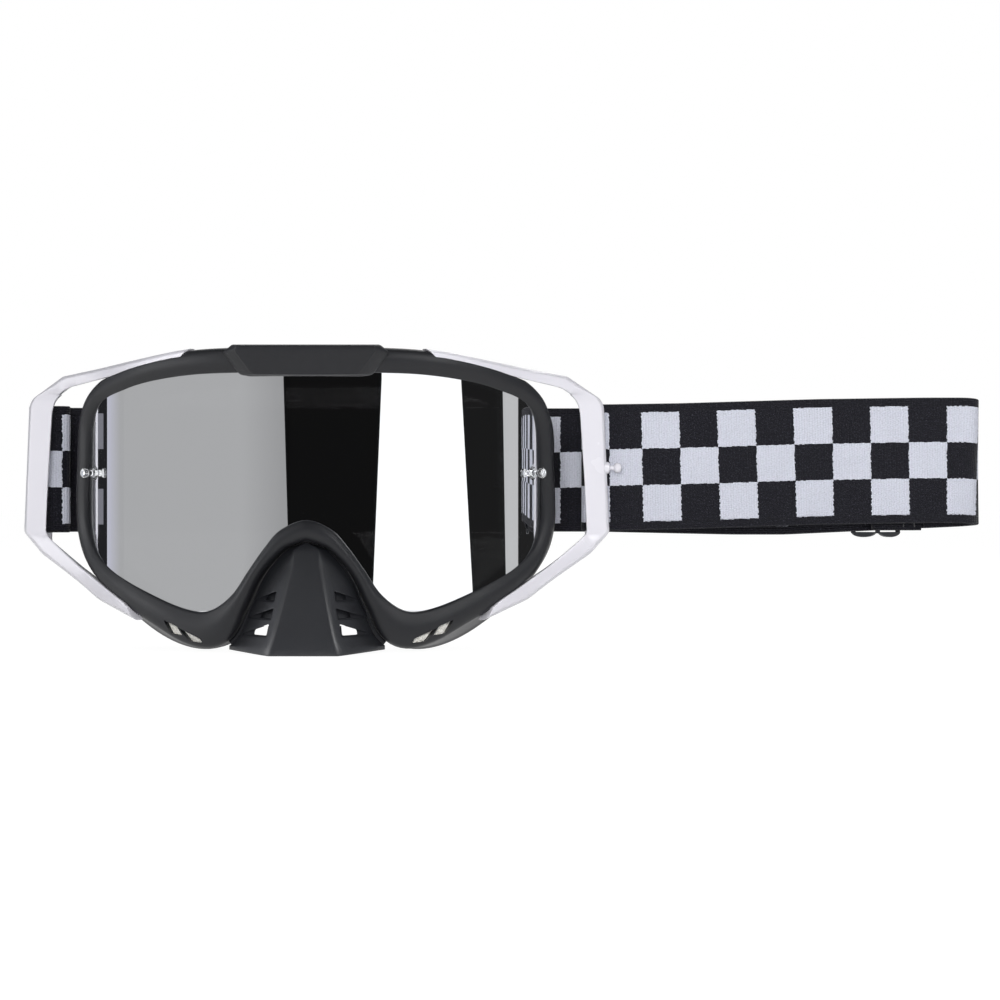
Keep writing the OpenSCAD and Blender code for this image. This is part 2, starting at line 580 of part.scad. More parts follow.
// Sewn strap end: folded round the slider's middle bar and stitched to itself.
function ribbon(path, t) =
    let (n = len(path), side = function (i, k)
        let (a = path[max(i - 1, 0)], b = path[min(i + 1, n - 1)], d = unit(b - a))
        path[i] + [-d[1], d[0]] * k * t / 2)
    concat([for (i = [0:n - 1]) side(i, 1)], [for (i = [n - 1:-1:0]) side(i, -1)]);
hug_r = slider_bar_d / 2 + 0.15 + band_t / 2;
module strap_end(dir) {
    tail_y = -lay;
    path = concat([[dir * end_l, tail_y], [dir * 8, tail_y], [dir * 3, mid_bar_y + hug_r - 0.1]],
        [for (a = [90:22.5:270]) [-dir * hug_r * sin(a - 90), mid_bar_y + hug_r * sin(a)]],
        [[dir * 3, mid_bar_y - hug_r + 0.2], [dir * 9, tail_y - band_t - 0.08],
            [dir * (end_l - 2), tail_y - band_t - 0.08]]);
    color([0.14, 0.14, 0.17]) translate([0, 0, -band_w / 2])
        linear_extrude(band_w) polygon(ribbon(path, band_t));
}
module strap_end_right() {
    at_slider_right() strap_end(1);
}
module strap_end_left() {
    at_slider_left() strap_end(-1);
}

// Lines of silicone on the inner side of the band.
bead_t = 0.6;
bead_w = 2.4;
bead_pitch = 14;
module grip_beads() {
    color([0.3, 0.3, 0.32]) for (i = [-1:1]) translate([0, -(band_t + bead_t) / 2 - 0.05, i * bead_pitch])
        band([for (t = [0.1, 0.5, 0.9]) slant_from * (1 - t) + slant_to * t], bead_t, bead_w);
}

frame();
lens();
post(-1);  // post_left
post(1);  // post_right
post_washer(-1);  // post_washer_left
post_washer(1);  // post_washer_right
outrigger(-1);  // outrigger_left
outrigger(1);  // outrigger_right
nose_guard();
foam_base();
foam_mid();
foam_face();
top_vent_filter();
bottom_vent_filter(-1);  // bottom_vent_filter_left
bottom_vent_filter(1);  // bottom_vent_filter_right
strap_webbing();
strap_tail_left();
strap_tail_right();
strap_slack_left();
strap_slack_right();
strap_end_left();
strap_end_right();
slider_left();
slider_right();
grip_beads();
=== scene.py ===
"""Off-road riding goggles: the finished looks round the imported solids.

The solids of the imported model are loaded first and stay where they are.  Each
sub-assembly below is a class that repeats the sizes of the solids, builds a
finer mesh in the same place and dresses it with node-based finishes.  Sizes in
the classes are millimetres and become metres when a mesh is made.
"""
import logging
import math
from dataclasses import dataclass, field
from enum import Enum
from functools import cached_property
from typing import Callable, Sequence

import bmesh
import bpy
import numpy as np
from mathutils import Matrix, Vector


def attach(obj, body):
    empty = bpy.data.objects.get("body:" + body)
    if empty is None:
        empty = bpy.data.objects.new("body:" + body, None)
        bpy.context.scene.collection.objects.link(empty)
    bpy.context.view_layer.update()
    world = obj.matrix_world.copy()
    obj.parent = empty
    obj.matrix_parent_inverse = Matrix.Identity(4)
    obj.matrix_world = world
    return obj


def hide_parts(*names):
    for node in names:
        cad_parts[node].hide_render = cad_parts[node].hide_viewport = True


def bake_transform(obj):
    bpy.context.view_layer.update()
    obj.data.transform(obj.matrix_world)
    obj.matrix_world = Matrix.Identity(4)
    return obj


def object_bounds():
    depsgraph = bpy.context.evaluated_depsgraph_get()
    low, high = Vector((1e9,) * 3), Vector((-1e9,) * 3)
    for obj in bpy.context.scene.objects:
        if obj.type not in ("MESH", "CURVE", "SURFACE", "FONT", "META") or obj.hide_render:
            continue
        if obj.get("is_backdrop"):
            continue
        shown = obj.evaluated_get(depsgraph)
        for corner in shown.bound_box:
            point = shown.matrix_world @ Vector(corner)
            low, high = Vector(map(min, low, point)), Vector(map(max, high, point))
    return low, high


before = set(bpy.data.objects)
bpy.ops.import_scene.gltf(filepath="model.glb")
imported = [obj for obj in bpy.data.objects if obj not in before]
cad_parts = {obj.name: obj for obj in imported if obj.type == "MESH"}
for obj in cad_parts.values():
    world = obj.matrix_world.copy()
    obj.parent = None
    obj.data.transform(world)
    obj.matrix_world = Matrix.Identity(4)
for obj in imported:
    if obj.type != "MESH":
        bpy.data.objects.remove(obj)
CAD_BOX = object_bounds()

log = logging.getLogger("goggles")
MM = 0.001
WELD = 2e-6
SMOOTH_DEG = 40.0
Point = Sequence[float]
Colour = tuple[float, float, float, float]
Object = bpy.types.Object
Placing = Callable[[Point], Point]
Rows = tuple[Point, ...]


class Body(Enum):
    """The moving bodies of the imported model."""

    GOGGLES = "goggles"
    NOSE_GUARD = "nose_guard"
    SLIDER_LEFT = "slider_left_body"
    SLIDER_RIGHT = "slider_right_body"


class Side(Enum):
    """The two sides of the goggles as seen from the front."""

    LEFT = -1
    RIGHT = 1

    @property
    def word(self) -> str:
        """The side as it stands in a piece's name."""
        return self.name.lower()

    @property
    def slider(self) -> Body:
        """The body of this side's strap slider."""
        return Body.SLIDER_LEFT if self is Side.LEFT else Body.SLIDER_RIGHT


# Plain maths for curves and polylines.


def catmull(a: Point, b: Point, c: Point, d: Point, t: float) -> np.ndarray:
    """A point of the curve that runs through its knots.

    Args:
        a: Knot before the span.
        b: First knot of the span.
        c: Second knot of the span.
        d: Knot after the span.
        t: Place in the span, from 0 to 1.

    Returns:
        The point as an array of the knots' length.
    """
    a, b, c, d = (np.asarray(k, float) for k in (a, b, c, d))
    return 0.5 * (2 * b + (c - a) * t + (2 * a - 5 * b + 4 * c - d) * t * t
                  + (3 * b - a - 3 * c + d) * t ** 3)


def unit(v: Point) -> np.ndarray:
    """The vector v at length 1."""
    v = np.asarray(v, float)
    return v / max(float(np.linalg.norm(v)), 1e-12)


def soften(points: Sequence[Point], radii: Sequence[float], steps: int = 3,
           closed: bool = True) -> list[np.ndarray]:
    """Rounds the corners of a polyline.

    Args:
        points: Corners of the line.
        radii: Reach of the rounding at each corner, in the points' unit.
        steps: Points that replace one corner, less one.
        closed: True for a ring.

    Returns:
        The points of the rounded line.
    """
    out: list[np.ndarray] = []
    n = len(points)
    for i, (p, r) in enumerate(zip(points, radii)):
        p = np.asarray(p, float)
        if not closed and i in (0, n - 1):
            out.append(p)
            continue
        a, b = np.asarray(points[i - 1], float), np.asarray(points[(i + 1) % n], float)
        ka = min(r, 0.46 * float(np.linalg.norm(a - p)))
        kb = min(r, 0.46 * float(np.linalg.norm(b - p)))
        pa, pb = p + unit(a - p) * ka, p + unit(b - p) * kb
        for k in range(steps + 1):
            t = k / steps
            out.append((1 - t) ** 2 * pa + 2 * t * (1 - t) * p + t * t * pb)
    return out


def resample(points: Sequence[Point], step: float) -> np.ndarray:
    """Points a fixed distance apart along a polyline, both ends kept.

    Args:
        points: The polyline.
        step: Distance between two points.

    Returns:
        An array with one row for each point.
    """
    p = np.asarray(points, float)
    d = np.concatenate([[0], np.cumsum(np.linalg.norm(np.diff(p, axis=0), axis=1))])
    at = np.linspace(0, d[-1], max(2, int(round(d[-1] / step)) + 1))
    return np.stack([np.interp(at, d, p[:, k]) for k in range(p.shape[1])], 1)


def eased(points: np.ndarray, reach: int) -> np.ndarray:
    """Evenly spaced points with their corners eased over a few neighbours.

    Args:
        points: Evenly spaced points.
        reach: Neighbours on each side that share in a point.

    Returns:
        The eased points, the ends unmoved.
    """
    out = points.copy()
    n = len(points)
    for i in range(n):
        r = min(reach, i, n - 1 - i)
        out[i] = points[i - r:i + r + 1].mean(0)
    return out


def rounded(corners: Sequence[tuple[Point, float]], steps: int = 3) -> list[np.ndarray]:
    """The ring through (corner, reach of its rounding) pairs."""
    return soften([c for c, _ in corners], [r for _, r in corners], steps)


# Mesh makers: sections in millimetres become linked objects in metres.


@dataclass
class Shell:
    """Vertices and faces that grow into one mesh object.

    Attributes:
        verts: Points in millimetres.
        faces: Corner numbers of each face, anticlockwise from outside.
    """

    verts: list[Point] = field(default_factory=list)
    faces: list[tuple[int, ...]] = field(default_factory=list)

    def loft(self, rows: Sequence[Sequence[Point]], ring: bool = False, closed: bool = True,
             flip: bool = False) -> "Shell":
        """Skins a run of sections.

        Args:
            rows: Sections of equal length.
            ring: True where the last section joins the first.
            closed: True where a section's last point joins its first.
            flip: True to turn the faces over.

        Returns:
            This shell.
        """
        base, n, m = len(self.verts), len(rows), len(rows[0])
        self.verts += [tuple(p) for r in rows for p in r]
        for i in range(n if ring else n - 1):
            here, after = base + i * m, base + ((i + 1) % n) * m
            for j in range(m if closed else m - 1):
                k = (j + 1) % m
                face = (here + j, after + j, after + k, here + k)
                self.faces.append((face[0], *face[:0:-1]) if flip else face)
        if not ring and closed:
            first = tuple(base + j for j in range(m))
            last = tuple(base + (n - 1) * m + j for j in range(m))
            self.faces += [first[::-1], last] if flip else [first, last[::-1]]
        return self

    def build(self, name: str, smooth_deg: float = SMOOTH_DEG) -> Object:
        """Makes the object.

        Args:
            name: Name of the object.
            smooth_deg: Edges sharper than this stay sharp.

        Returns:
            The new object, linked to the scene.
        """
        mesh = bpy.data.meshes.new(name)
        mesh.from_pydata([[c * MM for c in v] for v in self.verts], [], self.faces)
        mesh.validate()
        face_out(mesh, WELD)
        return linked(name, shaded(mesh, smooth_deg))


def lofted(rows: Sequence[Sequence[Point]], name: str, smooth_deg: float = SMOOTH_DEG,
           **how: bool) -> Object:
    """The object skinned over sections, with Shell.loft's own switches."""
    return Shell().loft(rows, **how).build(name, smooth_deg)


def face_out(mesh: bpy.types.Mesh, weld: float = 0.0) -> None:
    """Points a mesh's faces outwards.

    Args:
        mesh: The mesh.
        weld: Points closer than this, in metres, become one first.
    """
    bm = bmesh.new()
    bm.from_mesh(mesh)
    if weld:
        bmesh.ops.remove_doubles(bm, verts=bm.verts, dist=weld)
    bmesh.ops.recalc_face_normals(bm, faces=bm.faces)
    bm.to_mesh(mesh)
    bm.free()


def shaded(mesh: bpy.types.Mesh, smooth_deg: float = SMOOTH_DEG) -> bpy.types.Mesh:
    """The mesh, smooth save for edges sharper than smooth_deg."""
    mesh.shade_smooth()
    mesh.set_sharp_from_angle(angle=math.radians(smooth_deg))
    return mesh


def linked(name: str, data: bpy.types.ID) -> Object:
    """A new object with a mesh, lamp or camera, in the scene."""
    obj = bpy.data.objects.new(name, data)
    bpy.context.scene.collection.objects.link(obj)
    return obj


def baked(obj: Object, smooth_deg: float = SMOOTH_DEG) -> Object:
    """Applies an object's modifiers to a plain mesh.

    Args:
        obj: Object with live modifiers.
        smooth_deg: Edges sharper than this stay sharp.

    Returns:
        The same object without modifiers.
    """
    depsgraph = bpy.context.evaluated_depsgraph_get()
    mesh = bpy.data.meshes.new_from_object(obj.evaluated_get(depsgraph))
    mesh.name = obj.name
    obj.modifiers.clear()
    obj.data = shaded(mesh, smooth_deg)
    return obj


def carved(obj: Object, tool: Object, smooth_deg: float) -> Object:
    """Cuts a closed body out of an object and removes it.

    Args:
        obj: The object to carve.
        tool: The closed body, gone afterwards.
        smooth_deg: Edges sharper than this stay sharp.

    Returns:
        The carved object.
    """
    mod = obj.modifiers.new("cut", "BOOLEAN")
    mod.operation, mod.solver, mod.object = "DIFFERENCE", "EXACT", tool
    baked(obj, smooth_deg)
    bpy.data.objects.remove(tool)
    return obj


def joined(name: str, parts: Sequence[Object]) -> Object:
    """Puts several meshes into one object.

    Args:
        name: Name of the result.
        parts: Objects at the origin, gone afterwards.

    Returns:
        The one object.
    """
    bm = bmesh.new()
    for part in parts:
        bm.from_mesh(part.data)
        bpy.data.objects.remove(part)
    mesh = bpy.data.meshes.new(name)
    bm.to_mesh(mesh)
    bm.free()
    return linked(name, shaded(mesh))


def prism(outline: Sequence[Point], y0: float, y1: float, place: Placing,
          name: str, corner: float = 0.4) -> Object:
    """An upright outline drawn through a depth, with rounded corners.

    Args:
        outline: Corners as (x, z), in millimetres.
        y0: Front depth.
        y1: Rear depth.
        place: Puts a local point in the row frame.
        name: Name of the object.
        corner: Reach of the rounding at the corners.

    Returns:
        The closed body.
    """
    line = soften([(x, 0.0, z) for x, z in outline], [corner] * len(outline), 4)
    return lofted([[place((p[0], y, p[2])) for p in line] for y in (y0, y1)], name)


def lathe(profile: Sequence[Point], place: Placing, name: str,
          turns: int = 40) -> Object:
    """A body of revolution about its local Z axis.

    Args:
        profile: (radius, height) from axis to axis, in millimetres.
        place: Puts a local point in the row frame.
        name: Name of the object.
        turns: Faces round the axis.

    Returns:
        The closed body.
    """
    rows = [[place((r * math.cos(a), r * math.sin(a), h)) for r, h in profile]
            for a in (2 * math.pi * k / turns for k in range(turns))]
    return lofted(rows, name, 35, ring=True, closed=False)


# The shape of the goggles.


@dataclass(frozen=True)
class GoggleForm:
    """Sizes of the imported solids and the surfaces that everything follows.

    All in millimetres, as in the part's source.
    """

    lens_w: float = 156.6
    lens_h: float = 80.2
    lens_z: float = 14.2
    lens_y: float = 12.9
    lens_r: float = 98.0
    lens_t: float = 1.2
    lens_lap: float = 2.6
    lens_gap: float = 0.2
    rim_h: float = 2.9
    wall_t: float = 2.8
    flange_w: float = 11.0
    flange_t: float = 1.6
    face_y: float = 44.9
    face_r: float = 108.0
    base_t: float = 5.0
    mid_t: float = 5.0
    fleece_t: float = 2.0
    foam_w: float = 10.0
    glue: float = 0.12
    half: Rows = (
        (0, 1, 8.7, 7), (0.26, 1, 8.7, 7), (0.49, 0.994, 8.6, 7), (0.69, 0.967, 8.6, 7),
        (0.83, 0.922, 8.8, 7.2), (0.93, 0.867, 9, 7.2), (0.981, 0.79, 9.2, 7),
        (0.992, 0.64, 9.2, 6.5), (1, 0.47, 9.2, 6.5), (0.991, 0.355, 9.2, 7),
        (0.945, 0.255, 9.2, 8), (0.83, 0.15, 9.4, 10), (0.64, 0.05, 10, 13),
        (0.5, 0.002, 12, 14), (0.41, 0.005, 12.4, 13), (0.32, 0.07, 6.7, 10.1),
        (0.25, 0.17, 4.6, 8.1), (0.18, 0.267, 5.0, 7.7), (0.11, 0.342, 6.5, 8.3),
        (0, 0.383, 7.2, 8.8))

    @property
    def half_w(self) -> float:
        """Half the width of the lens opening."""
        return self.lens_w / 2

    @property
    def foam_t(self) -> float:
        """Thickness of the three foam layers together."""
        return self.base_t + self.mid_t + self.fleece_t

    @property
    def axis_y(self) -> float:
        """Place of the lens's upright axis."""
        return self.lens_y + self.lens_r

    @property
    def knots(self) -> list[tuple[float, float, float, float]]:
        """The whole outline's knots, from the top middle by the right side."""
        return list(self.half) + [(-a, b, c, d) for a, b, c, d in self.half[-2:0:-1]]

    def outline_at(self, u: float) -> np.ndarray:
        """The outline's row at u knots from the top middle."""
        k, n = self.knots, len(self.knots)
        i = int(math.floor(u))
        return catmull(k[(i - 1) % n], k[i % n], k[(i + 1) % n], k[(i + 2) % n], u - i)

    def arc(self, x: float) -> float:
        """Distance along the lens face from the middle to x."""
        return self.lens_r * math.asin(x / self.lens_r)

    def lens_front(self, x: float) -> float:
        """Depth of the lens face at x."""
        return self.axis_y - math.sqrt(self.lens_r ** 2 - x * x)

    def face_line(self, x: float) -> float:
        """Depth of the wearer's face at x."""
        return self.face_y + self.face_r - math.sqrt(self.face_r ** 2 - x * x)

    def station(self, u: float) -> tuple[float, ...]:
        """One station of the outline.

        Args:
            u: Knots from the top middle.

        Returns:
            x, z, rim width, flange offset, arc place, the outward direction on
            the unrolled lens and the outward direction from the front.
        """
        p, q, o = self.outline_at(u), self.outline_at(u + 0.05), self.outline_at(u - 0.05)
        x, z = p[0] * self.half_w, self.lens_z + p[1] * self.lens_h
        dx, dz = (q[0] - o[0]) * self.half_w, (q[1] - o[1]) * self.lens_h
        ds = self.arc(q[0] * self.half_w) - self.arc(o[0] * self.half_w)
        m, f = unit((-dz, ds)), unit((-dz, dx))
        return (x, z, p[2], p[3], self.arc(x), m[0], m[1], f[0], f[1])

    def stations(self, per: int) -> list[tuple[float, ...]]:
        """Stations all round the outline, per of them from knot to knot."""
        return [self.station(k / per) for k in range(len(self.knots) * per)]

    def on_lens(self, s: Point, b: float, h: float) -> tuple[float, float, float]:
        """The point b outwards from the lens edge and h over the lens face."""
        a = (s[4] + b * s[5]) / self.lens_r
        r = self.lens_r + h
        return (r * math.sin(a), self.axis_y - r * math.cos(a), s[1] + b * s[6])

    def on_face(self, s: Point, q: float, d: float) -> tuple[float, float, float]:
        """The point q outwards from the lens edge and d before the face."""
        x = s[0] + q * s[7]
        return (x, self.face_line(x) - d, s[1] + q * s[8])


FORM = GoggleForm()


# Node trees: sums on outputs, groups that finishes share, and materials.


@dataclass(frozen=True)
class Wire:
    """An output of a node; a sum on it adds a node to its graph."""

    graph: "Graph"
    socket: bpy.types.NodeSocket

    def sum(self, op: str, other: object = 0.0) -> "Wire":
        """Blender's sum of that name on this value and another."""
        return self.graph.out("ShaderNodeMath", operation=op, i0=self, i1=other)

    def __add__(self, other: object) -> "Wire":
        """This value plus another."""
        return self.sum("ADD", other)

    def __sub__(self, other: object) -> "Wire":
        """This value less another."""
        return self.sum("SUBTRACT", other)

    def __mul__(self, other: object) -> "Wire":
        """This value times another."""
        return self.sum("MULTIPLY", other)

    def __truediv__(self, other: object) -> "Wire":
        """This value over another."""
        return self.sum("DIVIDE", other)

    def __gt__(self, other: object) -> "Wire":
        """1 where this value is greater than another, else 0."""
        return self.sum("GREATER_THAN", other)

    def __lt__(self, other: object) -> "Wire":
        """1 where this value is less than another, else 0."""
        return self.sum("LESS_THAN", other)

    def to(self, low: float, high: float, to_low: float = 0.0, to_high: float = 1.0) -> "Wire":
        """This value carried from low..high to to_low..to_high and held there."""
        return self.graph.out("ShaderNodeMapRange", i0=self, i1=low, i2=high, i3=to_low,
                              i4=to_high)


Wires = dict[str, Wire]


@dataclass(frozen=True)
class Graph:
    """A node tree under construction, for a material or a group."""

    tree: bpy.types.NodeTree

    def node(self, kind: str, **settings: object) -> bpy.types.Node:
        """Adds a node.

        Args:
            kind: Blender's node type.
            **settings: Properties in small letters first, then inputs: by number
                as i0, i1 and so on, or by name with _ for a space.

        Returns:
            The node.
        """
        made = self.tree.nodes.new(kind)
        for key, value in settings.items():
            if key[0] == "i" and key[1:].isdigit():
                self.feed(made.inputs[int(key[1:])], value)
            elif key[0].isupper():
                same = [s for s in made.inputs if s.name == key.replace("_", " ")]
                self.feed(next((s for s in same if s.enabled), same[0]), value)
            else:
                setattr(made, key, value)
        return made

    def out(self, kind: str, output: int | str = 0, **settings: object) -> Wire:
        """Adds a node and takes one of its outputs.

        Args:
            kind: Blender's node type.
            output: Name or number of the output.
            **settings: As for node.

        Returns:
            The output.
        """
        return Wire(self, self.node(kind, **settings).outputs[output])

    def feed(self, socket: bpy.types.NodeSocket, value: object) -> None:
        """Links a socket to an output, or sets its value.

        Args:
            socket: Input of a node.
            value: An output, or a plain value.
        """
        if isinstance(value, Wire):
            self.tree.links.new(value.socket, socket)
        else:
            socket.default_value = value

    def place(self) -> Wire:
        """The point in object coordinates."""
        return self.out("ShaderNodeTexCoord", "Object")

    def split(self, vector: Wire) -> list[Wire]:
        """The three parts of a vector."""
        made = self.node("ShaderNodeSeparateXYZ", i0=vector)
        return [Wire(self, s) for s in made.outputs]

    def vector(self, x: object = 0.0, y: object = 0.0, z: object = 0.0) -> Wire:
        """A vector of three values."""
        return self.out("ShaderNodeCombineXYZ", i0=x, i1=y, i2=z)

    def blend(self, factor: object, a: object, b: object) -> Wire:
        """A colour between a and b.

        Args:
            factor: 0 for a, 1 for b.
            a: First colour.
            b: Second colour.

        Returns:
            The colour.
        """
        made = self.node("ShaderNodeMix", data_type="RGBA")
        for key, value in (("Factor_Float", factor), ("A_Color", a), ("B_Color", b)):
            self.feed(next(s for s in made.inputs if s.identifier == key), value)
        return Wire(self, next(s for s in made.outputs if s.identifier == "Result_Color"))

    def noise(self, at: Wire, scale: object, detail: float = 3.0, rough: float = 0.5) -> Wire:
        """A soft noise from 0 to 1, with its scale in blobs in a metre."""
        return self.out("ShaderNodeTexNoise", "Fac", Vector=at, Scale=scale, Detail=detail,
                        Roughness=rough)

    def cells(self, at: Wire, scale: object) -> Wire:
        """Distance from the middle of round cells, with their number in a metre."""
        return self.out("ShaderNodeTexVoronoi", "Distance", feature="F1", Vector=at, Scale=scale)

    def bump(self, height: Wire, depth: float, strength: float = 1.0) -> Wire:
        """A normal that follows a height, of which 1 stands for depth metres."""
        return self.out("ShaderNodeBump", Strength=strength, Distance=depth, Height=height)


VALUE, COLOUR, VECTOR = "NodeSocketFloat", "NodeSocketColor", "NodeSocketVector"
SHAPE, FINISH = "NodeSocketGeometry", "NodeSocketMaterial"


class Group:
    """A node group with named inputs, built the first time it is used."""

    kind = "ShaderNodeTree"

    def __init__(self, name: str, inputs: Sequence[tuple[str, str, object]],
                 outputs: Sequence[tuple[str, str]],
                 fill: Callable[[Graph, Wires], dict[str, Wire]]) -> None:
        """Describes the group.

        Args:
            name: Name of the group.
            inputs: (name, kind, value at rest) of each input.
            outputs: (name, kind) of each output.
            fill: Builds the inside and returns what feeds each output.
        """
        self.name, self.inputs, self.outputs, self.fill = name, inputs, outputs, fill

    @cached_property
    def tree(self) -> bpy.types.NodeTree:
        """The group's node tree.

        Returns:
            The tree, made once.
        """
        tree = bpy.data.node_groups.new(self.name, self.kind)
        for name, kind, value in self.inputs:
            socket = tree.interface.new_socket(name, in_out="INPUT", socket_type=kind)
            if value is not None:
                socket.default_value = value
        for name, kind in self.outputs:
            tree.interface.new_socket(name, in_out="OUTPUT", socket_type=kind)
        g = Graph(tree)
        start, end = g.node("NodeGroupInput"), g.node("NodeGroupOutput")
        for name, value in self.fill(g, {s.name: Wire(g, s) for s in start.outputs}).items():
            g.feed(end.inputs[name], value)
        return tree

    def use(self, g: Graph, **values: object) -> Wires:
        """Places the group in a material's graph, fed with values, and gives its outputs."""
        made = g.node("ShaderNodeGroup", label=self.name, node_tree=self.tree, **values)
        return {s.name: Wire(g, s) for s in made.outputs}


def fill_grain(g: Graph, i: Wires) -> Wires:
    """Inside of the moulded grain: fine pits, slow tone and rubbed edges.

    Args:
        g: The group's graph.
        i: The group's inputs by name.

    Returns:
        The group's outputs by name.
    """
    at = i["Place"]
    fine = g.noise(at, i["Grain Scale"] * 0.6, 4.0, 0.6)
    tone = g.noise(at, 34.0, 3.0, 0.55).to(0.3, 0.7, -0.5, 0.5)
    scuff = g.noise(at, 320.0, 2.0, 0.7).to(0.35, 0.7)
    edge = g.out("ShaderNodeNewGeometry", "Pointiness").to(0.505, 0.56)
    worn = edge * scuff * i["Edge Wear"]
    lift = tone * 0.35 + fine * 0.12
    colour = g.blend(lift * 0.25 + 0.25, i["Colour"], i["Light"])
    return {"Colour": g.blend(worn, colour, i["Light"]),
            "Roughness": i["Roughness"] + (tone * i["Unevenness"] + worn * -0.12),
            "Height": g.cells(at, i["Grain Scale"]) * 0.6 + fine * 0.6}


MOULD_GRAIN = Group(
    "moulded_grain",
    [("Place", VECTOR, None), ("Colour", COLOUR, (0.02, 0.02, 0.02, 1)),
     ("Light", COLOUR, (0.06, 0.06, 0.06, 1)), ("Roughness", VALUE, 0.5),
     ("Unevenness", VALUE, 0.1), ("Grain Scale", VALUE, 2600.0), ("Edge Wear", VALUE, 0.3)],
    [("Colour", COLOUR), ("Roughness", VALUE), ("Height", VALUE)], fill_grain)


def fill_cells(g: Graph, i: Wires) -> Wires:
    """Inside of the open foam: round cells of two sizes, with painted shade in their bottoms.

    Args:
        g: The group's graph.
        i: The group's inputs by name.

    Returns:
        The group's outputs by name.
    """
    at, scale = i["Place"], i["Cell Scale"]
    depth = g.cells(at, scale) * 0.65 + g.cells(at, scale * 2.3) * 0.35
    wall = depth.to(0.25, 0.62)
    shade = g.blend(wall * 0.75, i["Pit"], i["Colour"])
    slow = g.noise(at, 60.0).to(0.35, 0.65, 0.0, 0.25)
    return {"Colour": g.blend(slow, shade, i["Pit"]), "Height": wall}


# The Pit colour is painted shade in the cells' bottoms.
OPEN_CELLS = Group(
    "open_cells",
    [("Place", VECTOR, None), ("Colour", COLOUR, (0.05, 0.05, 0.05, 1)),
     ("Pit", COLOUR, (0.01, 0.01, 0.01, 1)), ("Cell Scale", VALUE, 1100.0)],
    [("Colour", COLOUR), ("Height", VALUE)], fill_cells)

# Sizes of the weave in metres: a rib, a pick, the stagger of the picks from rib to
# rib, how far ribs and picks stray at a check's edges, and a cord of the border.
RIB, PICK, STAGGER = 0.00094, 0.00062, 0.00031
STRAY_UP, STRAY_ALONG, CORD = 0.00028, 0.0004, 0.00072


def fill_checks(g: Graph, i: Wires) -> Wires:
    """Inside of the woven band: ribs, picks, a checked figure and plain borders.

    Args:
        g: The group's graph.
        i: The group's inputs by name.

    Returns:
        The group's outputs by name.
    """
    along, border = i["Along"], i["Border"]
    u, v, _ = g.split(along)
    rib, pick = (u / RIB).sum("FLOOR"), (v / PICK).sum("FLOOR")
    by_rib, by_pick = (g.out("ShaderNodeTexWhiteNoise", noise_dimensions="3D",
                             i0=g.vector(count, seed)) - 0.5
                       for count, seed in ((rib, 3.7), (pick, 9.1)))
    column = ((u + by_pick * STRAY_ALONG - i["Start"]) / i["Column"]).sum("FLOOR")
    row = (v + by_rib * STRAY_UP - border) / i["Row"]
    odd = (column + row.sum("FLOOR") + 400.0).sum("MODULO", 2.0).sum("ABSOLUTE")
    white = (odd < 0.5) * ((row > 0.0) * (row < 3.0)) * i["Figure"]
    rib_h = ((u / RIB).sum("FRACT") * math.pi).sum("SINE")
    pick_h = (((v + rib * STAGGER) / PICK).sum("FRACT") * math.pi).sum("SINE")
    grain = g.noise(along, 1700.0, 3.0, 0.65)
    hairs = g.noise(g.out("ShaderNodeMapping", Vector=along, Scale=(0.45, 1.0, 1.0)),
                    3400.0, 2.0, 0.7)
    edge = v.sum("MINIMUM", i["Width"] - v)
    cord = (edge * (math.pi / CORD)).sum("SINE").sum("ABSOLUTE")
    plain_h = pick_h * 0.45 + rib_h * 0.35
    white_h = rib_h * 0.28 + 0.45 + pick_h * 0.22
    body_h = white * (white_h - plain_h) + plain_h
    woven = (edge < border) * (cord * 0.7 + rib_h * 0.25 - body_h) + body_h
    # Painted light and shade of the weave: the white yarn goes from Shade to White partly with the
    # height of ribs and picks, and the flecks show more on the picks' tops.
    fleck = grain.to(0.52, 0.78, 0.0, 0.55)
    dark = g.blend(fleck * (pick_h * 0.6 + 0.25), i["Dark"], i["Fleck"])
    shade = (hairs + grain) * 0.8 + (rib_h + pick_h * 1.4) * 0.12
    light = g.blend(shade.to(0.62, 1.12), i["Shade"], i["White"])
    return {"Colour": g.blend(white, dark, light), "Height": (grain + hairs) * 0.35 + woven}


CHECKED_BAND = Group(
    "checked_band",
    [("Along", VECTOR, None), ("Start", VALUE, 0.0), ("Column", VALUE, 0.01378),
     ("Row", VALUE, 0.01302), ("Border", VALUE, 0.00305), ("Width", VALUE, 0.045),
     ("Figure", VALUE, 1.0), ("Dark", COLOUR, (0.008, 0.008, 0.012, 1)),
     ("Fleck", COLOUR, (0.11, 0.11, 0.145, 1)), ("Shade", COLOUR, (0.42, 0.435, 0.5, 1)),
     ("White", COLOUR, (0.64, 0.655, 0.745, 1))],
    [("Colour", COLOUR), ("Height", VALUE)], fill_checks)


def grey(level: float) -> Colour:
    """A grey of that level as a colour."""
    return (level, level, level, 1.0)


def blank(data: bpy.types.ID) -> Graph:
    """The emptied node tree of a material or world."""
    data.use_nodes = True
    data.node_tree.nodes.clear()
    return Graph(data.node_tree)


